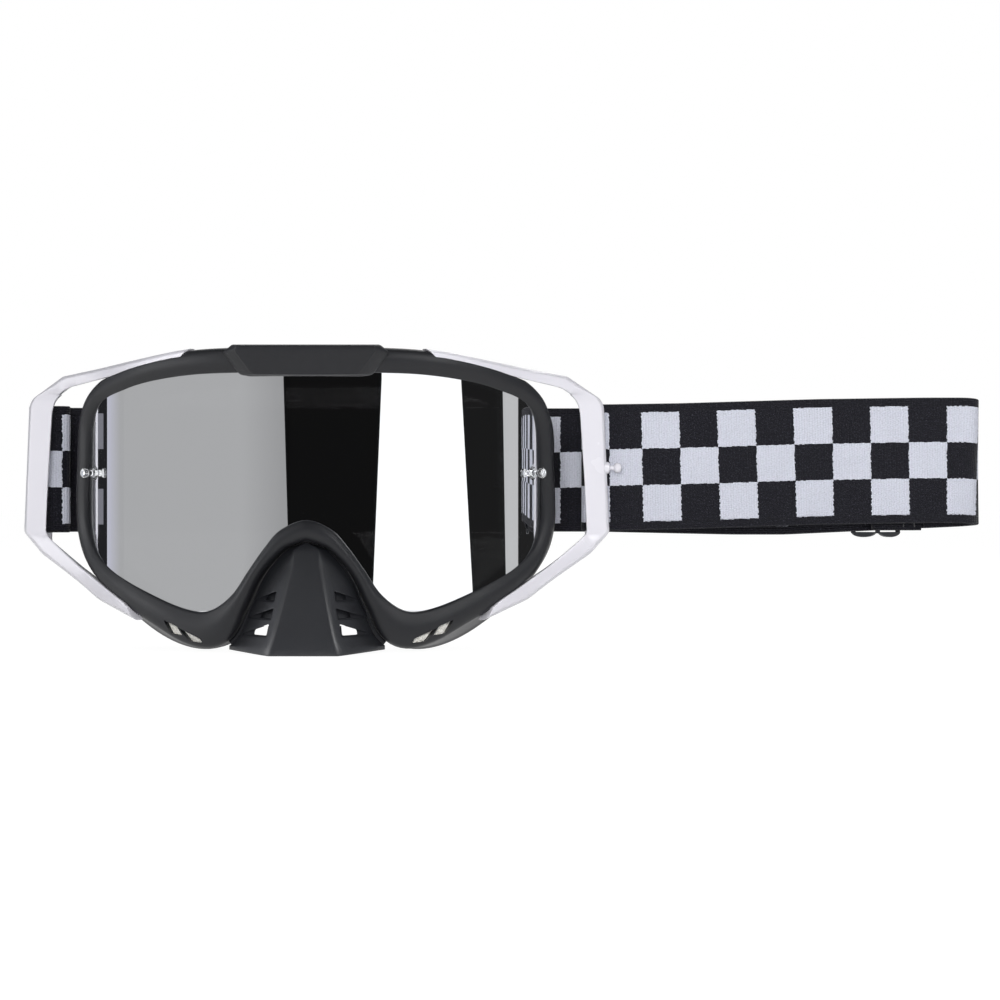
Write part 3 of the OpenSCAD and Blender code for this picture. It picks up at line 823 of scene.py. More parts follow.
@dataclass(frozen=True)
class Finish:
    """A material made of nodes, built the first time it is used.

    Attributes:
        name: Name of the material.
    """

    name: str

    def material(self) -> bpy.types.Material:
        """The finish's material.

        Returns:
            The material, made once.
        """
        made = bpy.data.materials.get(self.name)
        if made is None:
            made = bpy.data.materials.new(self.name)
            g = blank(made)
            shader = g.node("ShaderNodeBsdfPrincipled", label=self.name)
            g.node("ShaderNodeOutputMaterial", i0=Wire(g, shader.outputs[0]))
            for key, value in self.paint(g).items():
                g.feed(shader.inputs[key], value)
        return made

    def paint(self, g: Graph) -> dict[str, object]:
        """Builds the nodes.

        Args:
            g: The material's graph.

        Returns:
            The Principled shader's inputs by name.
        """
        raise NotImplementedError

    def piece(self, obj: Object, slot: str, body: Body | None, *nodes: str,
              fill: float | None = None) -> Object:
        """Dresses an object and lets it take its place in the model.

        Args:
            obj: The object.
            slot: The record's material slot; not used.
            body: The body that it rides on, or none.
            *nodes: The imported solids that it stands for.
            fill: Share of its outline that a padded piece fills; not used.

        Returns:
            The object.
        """
        obj.data.materials.clear()
        obj.data.materials.append(self.material())
        for face in obj.data.polygons:
            face.material_index = 0
        if body is not None:
            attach(obj, body.value)
        if nodes:
            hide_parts(*nodes)
        log.info("%s: %d faces", obj.name, len(obj.data.polygons))
        return obj


@dataclass(frozen=True)
class MouldedPlastic(Finish):
    """Injection-moulded plastic with a fine grain and slightly rubbed edges.

    Attributes:
        colour: Colour of the plastic.
        light: Colour of its lighter patches and rubbed edges.
        roughness: Middle roughness.
        unevenness: How far the roughness strays.
        grain: Pits in a metre.
        depth: Depth of the grain in metres.
        wear: Share of rubbed edges.
        coat: Weight of a gloss layer.
        specular: Strength of the mirror part.
    """

    colour: Colour
    light: Colour = (0.04, 0.04, 0.044, 1)
    roughness: float = 0.5
    unevenness: float = 0.12
    grain: float = 2600.0
    depth: float = 0.00003
    wear: float = 0.35
    coat: float = 0.0
    specular: float = 0.5

    def paint(self, g: Graph) -> dict[str, object]:
        """Grain, slow tone and rubbed edges, from the shared group.

        Args:
            g: The material's graph.

        Returns:
            The Principled shader's inputs by name.
        """
        grain = MOULD_GRAIN.use(g, Place=g.place(), Colour=self.colour, Light=self.light,
                                Roughness=self.roughness, Unevenness=self.unevenness,
                                Grain_Scale=self.grain, Edge_Wear=self.wear)
        return {"Base Color": grain["Colour"], "Roughness": grain["Roughness"],
                "Specular IOR Level": self.specular, "Coat Weight": self.coat,
                "Coat Roughness": 0.06, "Normal": g.bump(grain["Height"], self.depth)}


@dataclass(frozen=True)
class MirrorSheet(Finish):
    """A lens sheet with a silver mirror coat that lets a little light through."""

    colour: Colour = (0.79, 0.8, 0.82, 1)
    hazed: Colour = (0.72, 0.74, 0.78, 1)
    alpha: float = 0.93

    def paint(self, g: Graph) -> dict[str, object]:
        """A silver mirror with a faint uneven film and slow waves.

        Args:
            g: The material's graph.

        Returns:
            The Principled shader's inputs by name.
        """
        at = g.place()
        haze = (g.noise(at, 26.0, 4.0, 0.6).to(0.45, 0.75)
                * g.noise(at, 900.0, 2.0, 0.5).to(0.5, 0.8, 0.4, 1.0))
        return {"Metallic": 1.0, "Alpha": self.alpha, "Roughness": 0.0,
                "Base Color": g.blend(haze * 0.25, self.colour, self.hazed),
                "Normal": g.bump(g.noise(at, 42.0, 1.0, 0.4), 0.00001, 0.25)}


@dataclass(frozen=True)
class ClearPlastic(Finish):
    """Clear moulded plastic with faint flow marks."""

    def paint(self, g: Graph) -> dict[str, object]:
        """Clear plastic whose tint, gloss and surface follow the flow marks.

        Args:
            g: The material's graph.

        Returns:
            The Principled shader's inputs by name.
        """
        flow = g.noise(g.place(), 700.0, 2.0, 0.5)
        return {"Transmission Weight": 1.0, "IOR": 1.47,
                "Base Color": g.blend(flow.to(0.3, 0.7), (0.93, 0.95, 0.96, 1), grey(0.99)),
                "Roughness": flow.to(0.3, 0.7, 0.03, 0.09),
                "Normal": g.bump(flow, 0.00004, 0.5)}


@dataclass(frozen=True)
class OpenFoam(Finish):
    """Open-cell foam.

    Attributes:
        colour: Colour of the cell walls.
        pit: Colour of the painted shade inside the cells.
        cells: Cells in a metre.
        depth: Depth of the cells in metres.
    """

    colour: Colour = (0.03, 0.03, 0.032, 1)
    pit: Colour = (0.006, 0.006, 0.006, 1)
    cells: float = 1300.0
    depth: float = 0.00035

    def paint(self, g: Graph) -> dict[str, object]:
        """Open cells, from the shared group.

        Args:
            g: The material's graph.

        Returns:
            The Principled shader's inputs by name.
        """
        at = g.place()
        foam = OPEN_CELLS.use(g, Place=at, Colour=self.colour, Pit=self.pit,
                              Cell_Scale=self.cells)
        return {"Base Color": foam["Colour"], "Specular IOR Level": 0.2,
                "Roughness": g.noise(at, 400.0).to(0.3, 0.7, 0.82, 0.98),
                "Normal": g.bump(foam["Height"], self.depth)}


@dataclass(frozen=True)
class Fleece(Finish):
    """A short-pile knit bonded to foam."""

    colour: Colour = (0.6, 0.52, 0.41, 1)
    shade: Colour = (0.36, 0.3, 0.22, 1)

    def paint(self, g: Graph) -> dict[str, object]:
        """Tufts that gather in clumps, with a soft sheen.

        Args:
            g: The material's graph.

        Returns:
            The Principled shader's inputs by name.
        """
        at = g.place()
        clumps = g.noise(at, 260.0, 3.0, 0.6)
        pile = g.noise(at, 1500.0, 4.0, 0.7) * 0.7 + clumps * 0.5
        return {"Base Color": g.blend(pile.to(0.42, 0.78), self.shade, self.colour),
                "Roughness": clumps.to(0.3, 0.7, 0.85, 1.0), "Sheen Weight": 0.35,
                "Sheen Roughness": 0.5, "Normal": g.bump(pile, 0.0006)}


@dataclass(frozen=True)
class WovenBand(Finish):
    """Elastic webbing, with a checked figure on the main band and plain elsewhere.

    Attributes:
        start: Where a column of the figure starts along the band, in metres.
        figure: 1 for the checked figure, 0 for plain webbing.
        depth: Depth of the weave in metres.
    """

    start: float = 0.0
    figure: float = 1.0
    depth: float = 0.0004

    def paint(self, g: Graph) -> dict[str, object]:
        """The weave, from the shared group, read along the band's own map.

        Args:
            g: The material's graph.

        Returns:
            The Principled shader's inputs by name.
        """
        along = g.out("ShaderNodeUVMap", uv_map="along")
        weave = CHECKED_BAND.use(g, Along=along, Start=self.start, Figure=self.figure)
        return {"Base Color": weave["Colour"], "Specular IOR Level": 0.25,
                "Roughness": weave["Height"].to(0.2, 1.2, 0.95, 0.78), "Sheen Weight": 0.12,
                "Sheen Roughness": 0.4, "Normal": g.bump(weave["Height"], self.depth)}


@dataclass(frozen=True)
class SewingThread(Finish):
    """Twisted polyester thread."""

    colour: Colour = (0.03, 0.03, 0.035, 1)

    def paint(self, g: Graph) -> dict[str, object]:
        """Slanting twists that are smoother on top, with a painted highlight on each twist's top.

        Args:
            g: The material's graph.

        Returns:
            The Principled shader's inputs by name.
        """
        twist = g.out("ShaderNodeTexWave", "Fac", bands_direction="DIAGONAL", Vector=g.place(),
                      Scale=900.0)
        return {"Base Color": g.blend(twist, self.colour, grey(0.11)),
                "Roughness": twist.to(0.0, 1.0, 0.55, 0.75), "Normal": g.bump(twist, 0.00005)}


RIM_BLACK = MouldedPlastic("matte black frame", (0.006, 0.0063, 0.0078, 1),
                           (0.015, 0.0155, 0.0185, 1), 0.47, specular=0.4)
GUARD_BLACK = MouldedPlastic("matte black nose guard", (0.0095, 0.01, 0.012, 1),
                             (0.021, 0.022, 0.026, 1), 0.37, depth=0.000025, specular=0.65)
GLOSS_WHITE = MouldedPlastic("gloss white outrigger", (0.69, 0.68, 0.735, 1),
                             (0.75, 0.74, 0.79, 1), 0.24, unevenness=0.08, grain=900.0,
                             depth=0.000006, wear=0.2, coat=0.2)
SLIDER_GREY = MouldedPlastic("dark grey slider", (0.009, 0.0105, 0.013, 1),
                             (0.022, 0.025, 0.03, 1), 0.4, depth=0.000015, specular=0.32)
SILICONE = MouldedPlastic("silicone grip", (0.05, 0.05, 0.055, 1), (0.09, 0.09, 0.1, 1), 0.3,
                          grain=1200.0, depth=0.00002, wear=0.1)
WASHER_GREY = MouldedPlastic("washer rubber", (0.03, 0.03, 0.033, 1), roughness=0.7)
MIRROR = MirrorSheet("silver mirror lens")
CLEAR = ClearPlastic("clear post plastic")
FIRM_FOAM = OpenFoam("firm black foam")
SOFT_FOAM = OpenFoam("soft grey foam", (0.06, 0.06, 0.064, 1), cells=1000.0, depth=0.0005)
DARK_FILTER = OpenFoam("dark filter foam", (0.05, 0.05, 0.052, 1), cells=700.0)
# Partly the filter's own cream and partly painted light: its near-white stands in for the bright
# background seen through the slots under each eye.
CREAM_FILTER_AND_BACKLIGHT = OpenFoam("cream filter foam", (0.95, 0.94, 0.91, 1), (0.8, 0.77, 0.7, 1), 1400.0,
                        0.0002)
FACE_FLEECE = Fleece("beige fleece")
THREAD = SewingThread("black thread")


# Geometry node trees for what repeats or follows a path.


class Tree(Group):
    """A geometry node group that ends in Realize Instances and Set Material."""

    kind = "GeometryNodeTree"

    def __init__(self, name: str, inputs: dict[str, float],
                 grow: Callable[[Graph, Wires], Wire]) -> None:
        """Describes the tree.

        Args:
            name: Name of the tree.
            inputs: Value at rest of each size, in metres.
            grow: Builds the inside and returns the geometry.
        """
        def fill(g: Graph, i: Wires) -> Wires:
            """The grown geometry, realized and dressed."""
            real = g.out("GeometryNodeRealizeInstances", i0=grow(g, i))
            return {"Geometry": g.out("GeometryNodeSetMaterial", Geometry=real,
                                      Material=i["Finish"])}
        sizes = [(key, VALUE, value) for key, value in inputs.items()]
        super().__init__(name, [("Geometry", SHAPE, None), *sizes, ("Finish", FINISH, None)],
                         [("Geometry", SHAPE)], fill)

    def run(self, obj: Object, finish: Finish, **sizes: float) -> Object:
        """Runs the tree on an object's guide points and keeps the plain mesh.

        Args:
            obj: The object that carries the guide points.
            finish: Finish of what grows.
            **sizes: Inputs in millimetres.

        Returns:
            The same object, with the grown mesh.
        """
        mod = obj.modifiers.new(self.name, "NODES")
        mod.node_group = self.tree
        ids = {s.name: s.identifier for s in self.tree.interface.items_tree
               if s.in_out == "INPUT"}
        for key, value in sizes.items():
            mod[ids[key]] = value * MM
        mod[ids["Finish"]] = finish.material()
        return baked(obj)


def guide(name: str, points: Sequence[Point], chains: Sequence[int] = (),
          run: Sequence[float] = ()) -> Object:
    """Guide points for a geometry node tree, as one or more open chains.

    Args:
        name: Name of the object.
        points: Points in millimetres.
        chains: Number of points of each chain; none for loose points.
        run: Distance along the chain at each point, in metres.

    Returns:
        The object.
    """
    edges, at = [], 0
    for n in chains:
        edges += [(at + k, at + k + 1) for k in range(n - 1)]
        at += n
    mesh = bpy.data.meshes.new(name)
    mesh.from_pydata([[c * MM for c in p] for p in points], edges, [])
    if len(run):
        mesh.attributes.new("run", "FLOAT", "POINT").data.foreach_set("value", list(run))
    return linked(name, mesh)


def swept(g: Graph, path: Wire, rim: Wire) -> Wire:
    """A closed sweep along guide chains, with its sections kept upright.

    Args:
        g: The tree's graph.
        path: The guide chains.
        rim: The section's outline.

    Returns:
        The swept geometry.
    """
    line = g.out("GeometryNodeMeshToCurve", i0=path)
    up = g.out("GeometryNodeSetCurveNormal", mode="Z_UP", Curve=line)
    return g.out("GeometryNodeCurveToMesh", Curve=up, Profile_Curve=rim, Fill_Caps=True)


def rounded_rim(g: Graph, width: Wire, height: Wire, radius: Wire, count: int) -> Wire:
    """A rectangle as a curve, with count points on each rounded corner."""
    rim = g.out("GeometryNodeCurvePrimitiveQuadrilateral", mode="RECTANGLE", Width=width,
                Height=height)
    return g.out("GeometryNodeFilletCurve", mode="POLY", Curve=rim, Count=count, Radius=radius)


def grow_slots(g: Graph, i: Wires) -> Wire:
    """Inside of the slot row: one rounded upright slot on each guide point.

    Args:
        g: The tree's graph.
        i: The tree's inputs by name.

    Returns:
        The geometry.
    """
    line = g.out("GeometryNodeCurvePrimitiveLine", mode="POINTS", End=g.vector(z=i["Depth"]))
    rim = rounded_rim(g, i["Length"], i["Width"], i["Width"] * 0.499, 8)
    slot = g.out("GeometryNodeCurveToMesh", Curve=line, Profile_Curve=rim, Fill_Caps=True)
    return g.out("GeometryNodeInstanceOnPoints", Points=i["Geometry"], Instance=slot)


def grow_band(g: Graph, i: Wires) -> Wire:
    """Inside of the band sweep: an upright rounded strip with its own flat map.

    Args:
        g: The tree's graph.
        i: The tree's inputs by name.

    Returns:
        The geometry.
    """
    def stored(shape: Wire, name: str, value: Wire, kind: str, domain: str) -> Wire:
        """The geometry with a value stored under a name."""
        return g.out("GeometryNodeStoreNamedAttribute", data_type=kind, domain=domain,
                     Geometry=shape, Name=name, Value=value)

    def read(name: str) -> Wire:
        """The value stored under a name."""
        made = g.node("GeometryNodeInputNamedAttribute", data_type="FLOAT", Name=name)
        return Wire(g, next(s for s in made.outputs if s.enabled))
    rim = rounded_rim(g, i["Thickness"], i["Width"], i["Edge"], 4)
    across = g.split(g.out("GeometryNodeInputPosition"))[1] + i["Width"] * 0.5
    band = swept(g, i["Geometry"], stored(rim, "across", across, "FLOAT", "POINT"))
    return stored(band, "along", g.vector(read("run"), read("across")), "FLOAT2", "CORNER")


def grow_stitches(g: Graph, i: Wires) -> Wire:
    """Inside of the stitch row: short rounded stitches end to end along chains.

    Args:
        g: The tree's graph.
        i: The tree's inputs by name.

    Returns:
        The geometry.
    """
    line = g.out("GeometryNodeMeshToCurve", i0=i["Geometry"])
    spots = g.node("GeometryNodeCurveToPoints", mode="LENGTH", Curve=line, Length=i["Pitch"])
    ball = g.out("GeometryNodeMeshUVSphere", Segments=8, Rings=6, Radius=0.5)
    return g.out("GeometryNodeInstanceOnPoints", Points=Wire(g, spots.outputs["Points"]),
                 Instance=ball, Rotation=Wire(g, spots.outputs["Rotation"]),
                 Scale=g.vector(i["Thread"], i["Thread"], i["Pitch"] * 0.86))


def grow_beads(g: Graph, i: Wires) -> Wire:
    """Inside of the bead sweep: a low rounded bead along each chain.

    Args:
        g: The tree's graph.
        i: The tree's inputs by name.

    Returns:
        The geometry.
    """
    rim = g.out("GeometryNodeCurvePrimitiveCircle", Resolution=14, Radius=0.5)
    flat = g.out("GeometryNodeTransform", Geometry=rim,
                 Scale=g.vector(i["Height"], i["Width"], 1.0))
    return swept(g, i["Geometry"], flat)


SLOT_ROW = Tree("slot_row", {"Length": 0.011, "Width": 0.004, "Depth": 0.014}, grow_slots)
BAND_SWEEP = Tree("band_sweep", {"Thickness": 0.0014, "Width": 0.045, "Edge": 0.0006}, grow_band)
STITCH_ROW = Tree("stitch_row", {"Pitch": 0.0024, "Thread": 0.00045}, grow_stitches)
BEAD_SWEEP = Tree("bead_sweep", {"Width": 0.0024, "Height": 0.0006}, grow_beads)


# The sub-assemblies.


def at_post(side: Side, height: float, angle: float) -> Placing:
    """Places local points with Z out of the lens face at a post.

    Args:
        side: Side of the goggles.
        height: Height of the post's axis.
        angle: Turn of the post about the lens's axis, in radians.

    Returns:
        The placing function.
    """
    c, s = math.cos(side.value * angle), math.sin(side.value * angle)

    def put(p: Point) -> Point:
        """A local point in the row frame."""
        out = p[2] + FORM.lens_r
        return (p[0] * c + out * s, FORM.axis_y + p[0] * s - out * c, height + p[1])
    return put


@dataclass
class ArmLine:
    """The line of an outrigger's arm, shared by the arm and its pocket."""

    bar_x: float = 100.5
    bar_w: float = 8.3
    bar_y: float = 62.9
    arm_t: float = 4.8
    turn_x: float = 72.0
    step: float = 1.4
    blend_x: float = 3.0
    low_lift: float = 0.9

    @cached_property
    def edges(self) -> list[np.ndarray]:
        """Outer and inner edge of the arm (x, z, x, z) from the upper to the lower tip.

        Returns:
            One array for each station.
        """
        b = self.bar_x
        knots = [(39.6, 102.8, 0.1, 42.9, 99.4, 0.1), (44.6, 102.1, 1.0, 45.2, 98.9, 0.4),
                 (64.0, 98.9, 3.0, 62.0, 95.4, 3.0), (b - 12.0, 95.0, 1.2, b - 14.0, 90.6, 3.0),
                 (b - 0.2, 87.4, 1.2, b - 9.4, 87.0, 2.6), (b + 1.2, 84.8, 1.2, b - 8.0, 83.0, 1.6),
                 (b + 2.2, 62.0, 4.0, b - 6.2, 57.0, 4.0), (b + 3.2, 40.2, 1.1, b - 5.5, 40.2, 1.0),
                 (b - 3.6, 32.7, 1.1, b - 7.6, 38.0, 1.4), (84.6, 24.6, 3.0, 80.9, 28.5, 3.0),
                 (73.9, 17.2, 1.4, 70.8, 22.2, 2.0), (65.6, 13.6, 2.0, 63.0, 17.1, 1.0),
                 (58.6, 10.5, 0.1, 61.0, 15.1, 0.1)]
        outer = soften([k[:2] for k in knots], [k[2] for k in knots], 4, closed=False)
        inner = soften([k[3:5] for k in knots], [k[5] for k in knots], 4, closed=False)
        pairs = [np.concatenate([p, q]) for p, q in zip(outer, inner)]
        out = [pairs[0]]
        for p, q in zip(pairs, pairs[1:]):
            n = max(1, math.ceil(np.linalg.norm(q - p) / math.sqrt(2) / self.step))
            out += [p + (q - p) * k / n for k in range(1, n + 1)]
        return out

    def mean(self, rule: Callable[[float], float], x: float) -> float:
        """The mean of a rule round x, so that its kinks become bends."""
        return float(np.mean([rule(x + d) for d in np.linspace(-self.blend_x, self.blend_x, 5)]))

    def depth(self, x: float) -> float:
        """Depth of the arm's middle line at x.

        Args:
            x: Distance from the middle, in millimetres.

        Returns:
            The depth.
        """
        turn = FORM.lens_front(self.turn_x)
        slope = (self.bar_y - turn) / (self.bar_x - 1.5 - self.turn_x)
        at = FORM.lens_front(x) if x < self.turn_x else turn + (x - self.turn_x) * slope
        return min(self.bar_y + 0.6, at)

    def tilt(self, x: float) -> float:
        """Turn of the arm's face away from the front at x, in radians.

        Args:
            x: Distance from the middle, in millimetres.

        Returns:
            The turn.
        """
        if x < self.turn_x:
            return math.asin(x / FORM.lens_r)
        flat = math.degrees(math.asin(self.turn_x / FORM.lens_r))
        return math.radians(max(12.0, flat - (x - self.turn_x) * 1.35))

    def rows(self, gap: float, outline: Callable[[float, float], list[Point]],
             side: Side) -> list[list[Point]]:
        """Sections along the arm.

        Args:
            gap: Growth of the section on every side.
            outline: Makes a section's (across, outward) points from its size.
            side: Side of the goggles.

        Returns:
            The sections.
        """
        out = []
        for x, z, x1, z1 in self.edges:
            mid = np.array([(x + x1) / 2, 0.0, (z + z1) / 2])
            mid[1] = self.mean(self.depth, mid[0])
            a = self.mean(self.tilt, mid[0])
            n = np.array([math.sin(a), -math.cos(a), 0.0])
            if z < 50:
                mid = mid + n * self.low_lift * min(1.0, max(0.0, (80 - mid[0]) / 10))
            c = np.array([x1 - x, (x1 - x) * math.tan(a), z1 - z])
            width = float(np.linalg.norm(c))
            c = c / width
            row = []
            for across, out_by in outline(width + 2 * gap, self.arm_t + 2 * gap):
                e = mid + c * across + n * out_by
                row.append((side.value * e[0], e[1], e[2]))
            out.append(row)
        return out

    def pocket(self, side: Side, gap: float) -> Object:
        """The arm grown by a gap, to cut its pocket with.

        Args:
            side: Side of the goggles.
            gap: How far the pocket stands off the arm.

        Returns:
            The closed body.
        """
        def plain(w: float, t: float) -> list[Point]:
            """A rectangle with its front corners cut off.

            Args:
                w: Width.
                t: Thickness.

            Returns:
                The outline's points.
            """
            r = min(1.2, w / 3)
            return [(-w / 2, -t / 2), (-w / 2, t / 2 - r), (-w / 2 + 0.3 * r, t / 2 - 0.3 * r),
                    (-w / 2 + r, t / 2), (w / 2 - r, t / 2), (w / 2 - 0.3 * r, t / 2 - 0.3 * r),
                    (w / 2, t / 2 - r), (w / 2, -t / 2)]
        rows = self.rows(gap, plain, side)
        return lofted(rows, "pocket", flip=side is Side.LEFT)


ARM = ArmLine()


@dataclass
class GoggleFrame:
    """The moulded frame: rim, wall, face flange, brow block and vents."""

    brow_w: float = 50.0
    brow_low_w: float = 37.0
    brow_h: float = 10.8
    brow_rise: float = 9.3
    brow_d: float = 5.2
    vent_n: int = 6
    vent_w: float = 11.0
    vent_x: float = 42.0
    vent_skin: float = 2.6
    lip_back: float = 1.6
    lip_out: float = 1.5
    lip_from: float = 62.0
    arm_gap: float = 0.15
    slot_gap: float = 4.5
    slot_h: float = 4.0
    cut_d: float = 14.0
    bead_w: float = 2.2
    bead_h: float = 1.6
    vents: tuple[Rows, ...] = (
        ((-6.9, 11), (-1.2, 8.8), (0.8, 5.6), (-4, 6.3)),
        ((-0.8, 8.4), (7.5, 4.9), (8.3, 3.3), (3.5, 3.8)))
    pocket: Rows = (
        (-8.6, 12.4), (-1.4, 9.8), (8.6, 6), (9.6, 2.4), (3, 2.6), (-4.6, 4.9))

    def section(self, s: Point) -> list[np.ndarray]:
        """One section of the frame with rounded corners.

        Args:
            s: A station of the outline.

        Returns:
            The section's points in millimetres.
        """
        f, w, q = FORM, s[2], s[3]
        rear = -f.lens_t - f.lens_gap
        groove = f.lens_lap + f.lens_gap + 0.15
        face = f.foam_t
        part = min(1.0, max(0.0, (abs(s[0]) - self.lip_from) / 14))
        e = self.lip_out * part * part * (3 - 2 * part)
        rim = ((e, f.lens_gap, 0.15), (e + 0.2, 1.1, 0.3), (e + 0.7, 1.7, 0.5),
               (0.38 * w + 0.5 * e, f.rim_h, 1.6), (0.72 * w, f.rim_h - 0.2, 1.3),
               (0.93 * w, f.rim_h - 1.4, 0.9), (w, f.rim_h - 3.4, 1.3))
        flange = ((q - 1, face + f.flange_t + 2.4, 2.2), (q, face + f.flange_t, 0.5),
                  (q, face, 0.4), (q - f.flange_w / 2, face, 0.05), (q - f.flange_w, face, 0.4),
                  (q - f.flange_w, face + f.flange_t, 0.4),
                  (q - 1 - f.wall_t, face + f.flange_t + 0.4, 0.8))
        seat = ((w - f.wall_t - 0.4, rear - self.lip_back - 0.4, 0.8),
                (0.8, rear - self.lip_back, 0.3), (0.8, rear, 0.2), (groove, rear, 0.15),
                (groove, f.lens_gap, 0.15))
        corners = ([(f.on_lens(s, b, h), r) for b, h, r in rim]
                   + [(f.on_face(s, b, d), r) for b, d, r in flange]
                   + [(f.on_lens(s, b, h), r) for b, h, r in seat])
        return rounded(corners)

    def brow(self) -> Object:
        """The block over the middle of the brow, with eased edges.

        Returns:
            The block.
        """
        top = FORM.lens_z + FORM.lens_h + self.brow_rise
        low = top - self.brow_h
        w, v = self.brow_w / 2, self.brow_low_w / 2
        back = [(-w - 3.0, top - 2.6), (-w + 0.2, top), (w - 0.2, top), (w + 3.0, top - 2.6),
                (v + 3.6, low + 0.4), (-v - 3.6, low + 0.4)]
        front = [(-w + 1.2, top - 2.2), (-w + 1.6, top - 0.4), (w - 1.6, top - 0.4),
                 (w - 1.2, top - 2.2), (v - 0.6, low + 0.5), (-v + 0.6, low + 0.5)]
        y_back, y_front = FORM.lens_y - FORM.lens_gap, FORM.lens_y - self.brow_d
        rows = []
        for y, t, inset in ((y_back, 0.0, 0.35), (y_back - 0.35, 0.0, 0.0),
                            (y_back - 1.4, 0.05, 0.0), (y_front + 0.9, 0.85, 0.0),
                            (y_front + 0.4, 1.0, 0.05), (y_front + 0.1, 1.0, 0.25),
                            (y_front, 1.0, 0.6)):
            line = [((1 - t) * a[0] + t * b[0], (1 - t) * a[1] + t * b[1])
                    for a, b in zip(back, front)]
            mid_z = (top + low) / 2
            line = [(x * (1 - inset / w), mid_z + (z - mid_z) * (1 - inset / 5)) for x, z in line]
            rows.append(soften([(x, y, z) for x, z in line], [0.8, 0.6, 0.6, 0.8, 1.6, 1.6], 4))
        return lofted(rows, "brow", 30)

    def at_vent(self, side: Side) -> Placing:
        """Places local points in the plane that touches the lens at the vents.

        Args:
            side: Side of the goggles.

        Returns:
            The placing.
        """
        a = side.value * math.asin(self.vent_x / FORM.lens_r)
        c, s = math.cos(a), math.sin(a)
        x0, y0 = side.value * self.vent_x, FORM.lens_front(self.vent_x)
        return lambda p: (x0 + p[0] * c - p[1] * s, y0 + p[0] * s + p[1] * c, p[2])

    def cutters(self) -> list[Object]:
        """Closed bodies for the slots, vents and pockets, in groups that don't meet.

        Returns:
            The bodies, to be cut out in this order.
        """
        points = []
        for i in range(self.vent_n):
            x = (i - (self.vent_n - 1) / 2) * (self.vent_w + self.slot_gap)
            y = (FORM.lens_front(x) + 4 + FORM.face_line(x) - FORM.foam_t - FORM.flange_t) / 2
            points.append((x, y, FORM.lens_z + FORM.lens_h + 1))
        slots = SLOT_ROW.run(guide("slots", points), RIM_BLACK, Length=self.vent_w,
                             Width=self.slot_h, Depth=self.cut_d)
        small, wide = [slots], []
        for side in Side:
            for n, v in enumerate(self.vents):
                line = [(-side.value * a, b) for a, b in v]
                small.append(prism(line, -8, self.cut_d, self.at_vent(side), f"vent{n}", 0.7))
            line = [(-side.value * a, b) for a, b in self.pocket]
            wide.append(prism(line, -FORM.rim_h + self.vent_skin, self.cut_d, self.at_vent(side),
                              "seat"))
        arms = [ARM.pocket(side, self.arm_gap) for side in Side]
        return [joined("cut_small", small), joined("cut_seats", wide), joined("cut_arms", arms)]

    def stop_bead(self, guard: "NoseGuard") -> Object:
        """The bead along the nose arch that the nose guard rests against.

        Args:
            guard: The nose guard.

        Returns:
            The bead.
        """
        zs = np.linspace(guard.edge_z.min() + 0.6, guard.top + 0.2, 60)
        half = [(float(np.interp(z, guard.edge_z, guard.edge_x)) + 0.7, z) for z in zs]
        y = guard.edge_y + guard.wall + 1.3
        line = [(-x, y, z) for x, z in half] + [(x, y, z) for x, z in half[::-1]]
        line = eased(resample(line, 0.4), 4)
        return BEAD_SWEEP.run(guide("bead", line, [len(line)]), RIM_BLACK, Width=self.bead_w,
                              Height=self.bead_h)

    def build(self, guard: "NoseGuard") -> Object:
        """Builds and dresses the frame.

        Args:
            guard: The nose guard that its arch takes.

        Returns:
            The frame.
        """
        rows = [self.section(s) for s in FORM.stations(8)]
        ring = lofted(rows, "rim", ring=True)
        for tool in self.cutters():
            face_out(tool.data)
            carved(ring, tool, 38)
        piece = joined("frame_shell", [ring, self.brow(), self.stop_bead(guard)])
        return RIM_BLACK.piece(piece, "rim_black", Body.GOGGLES, "frame")


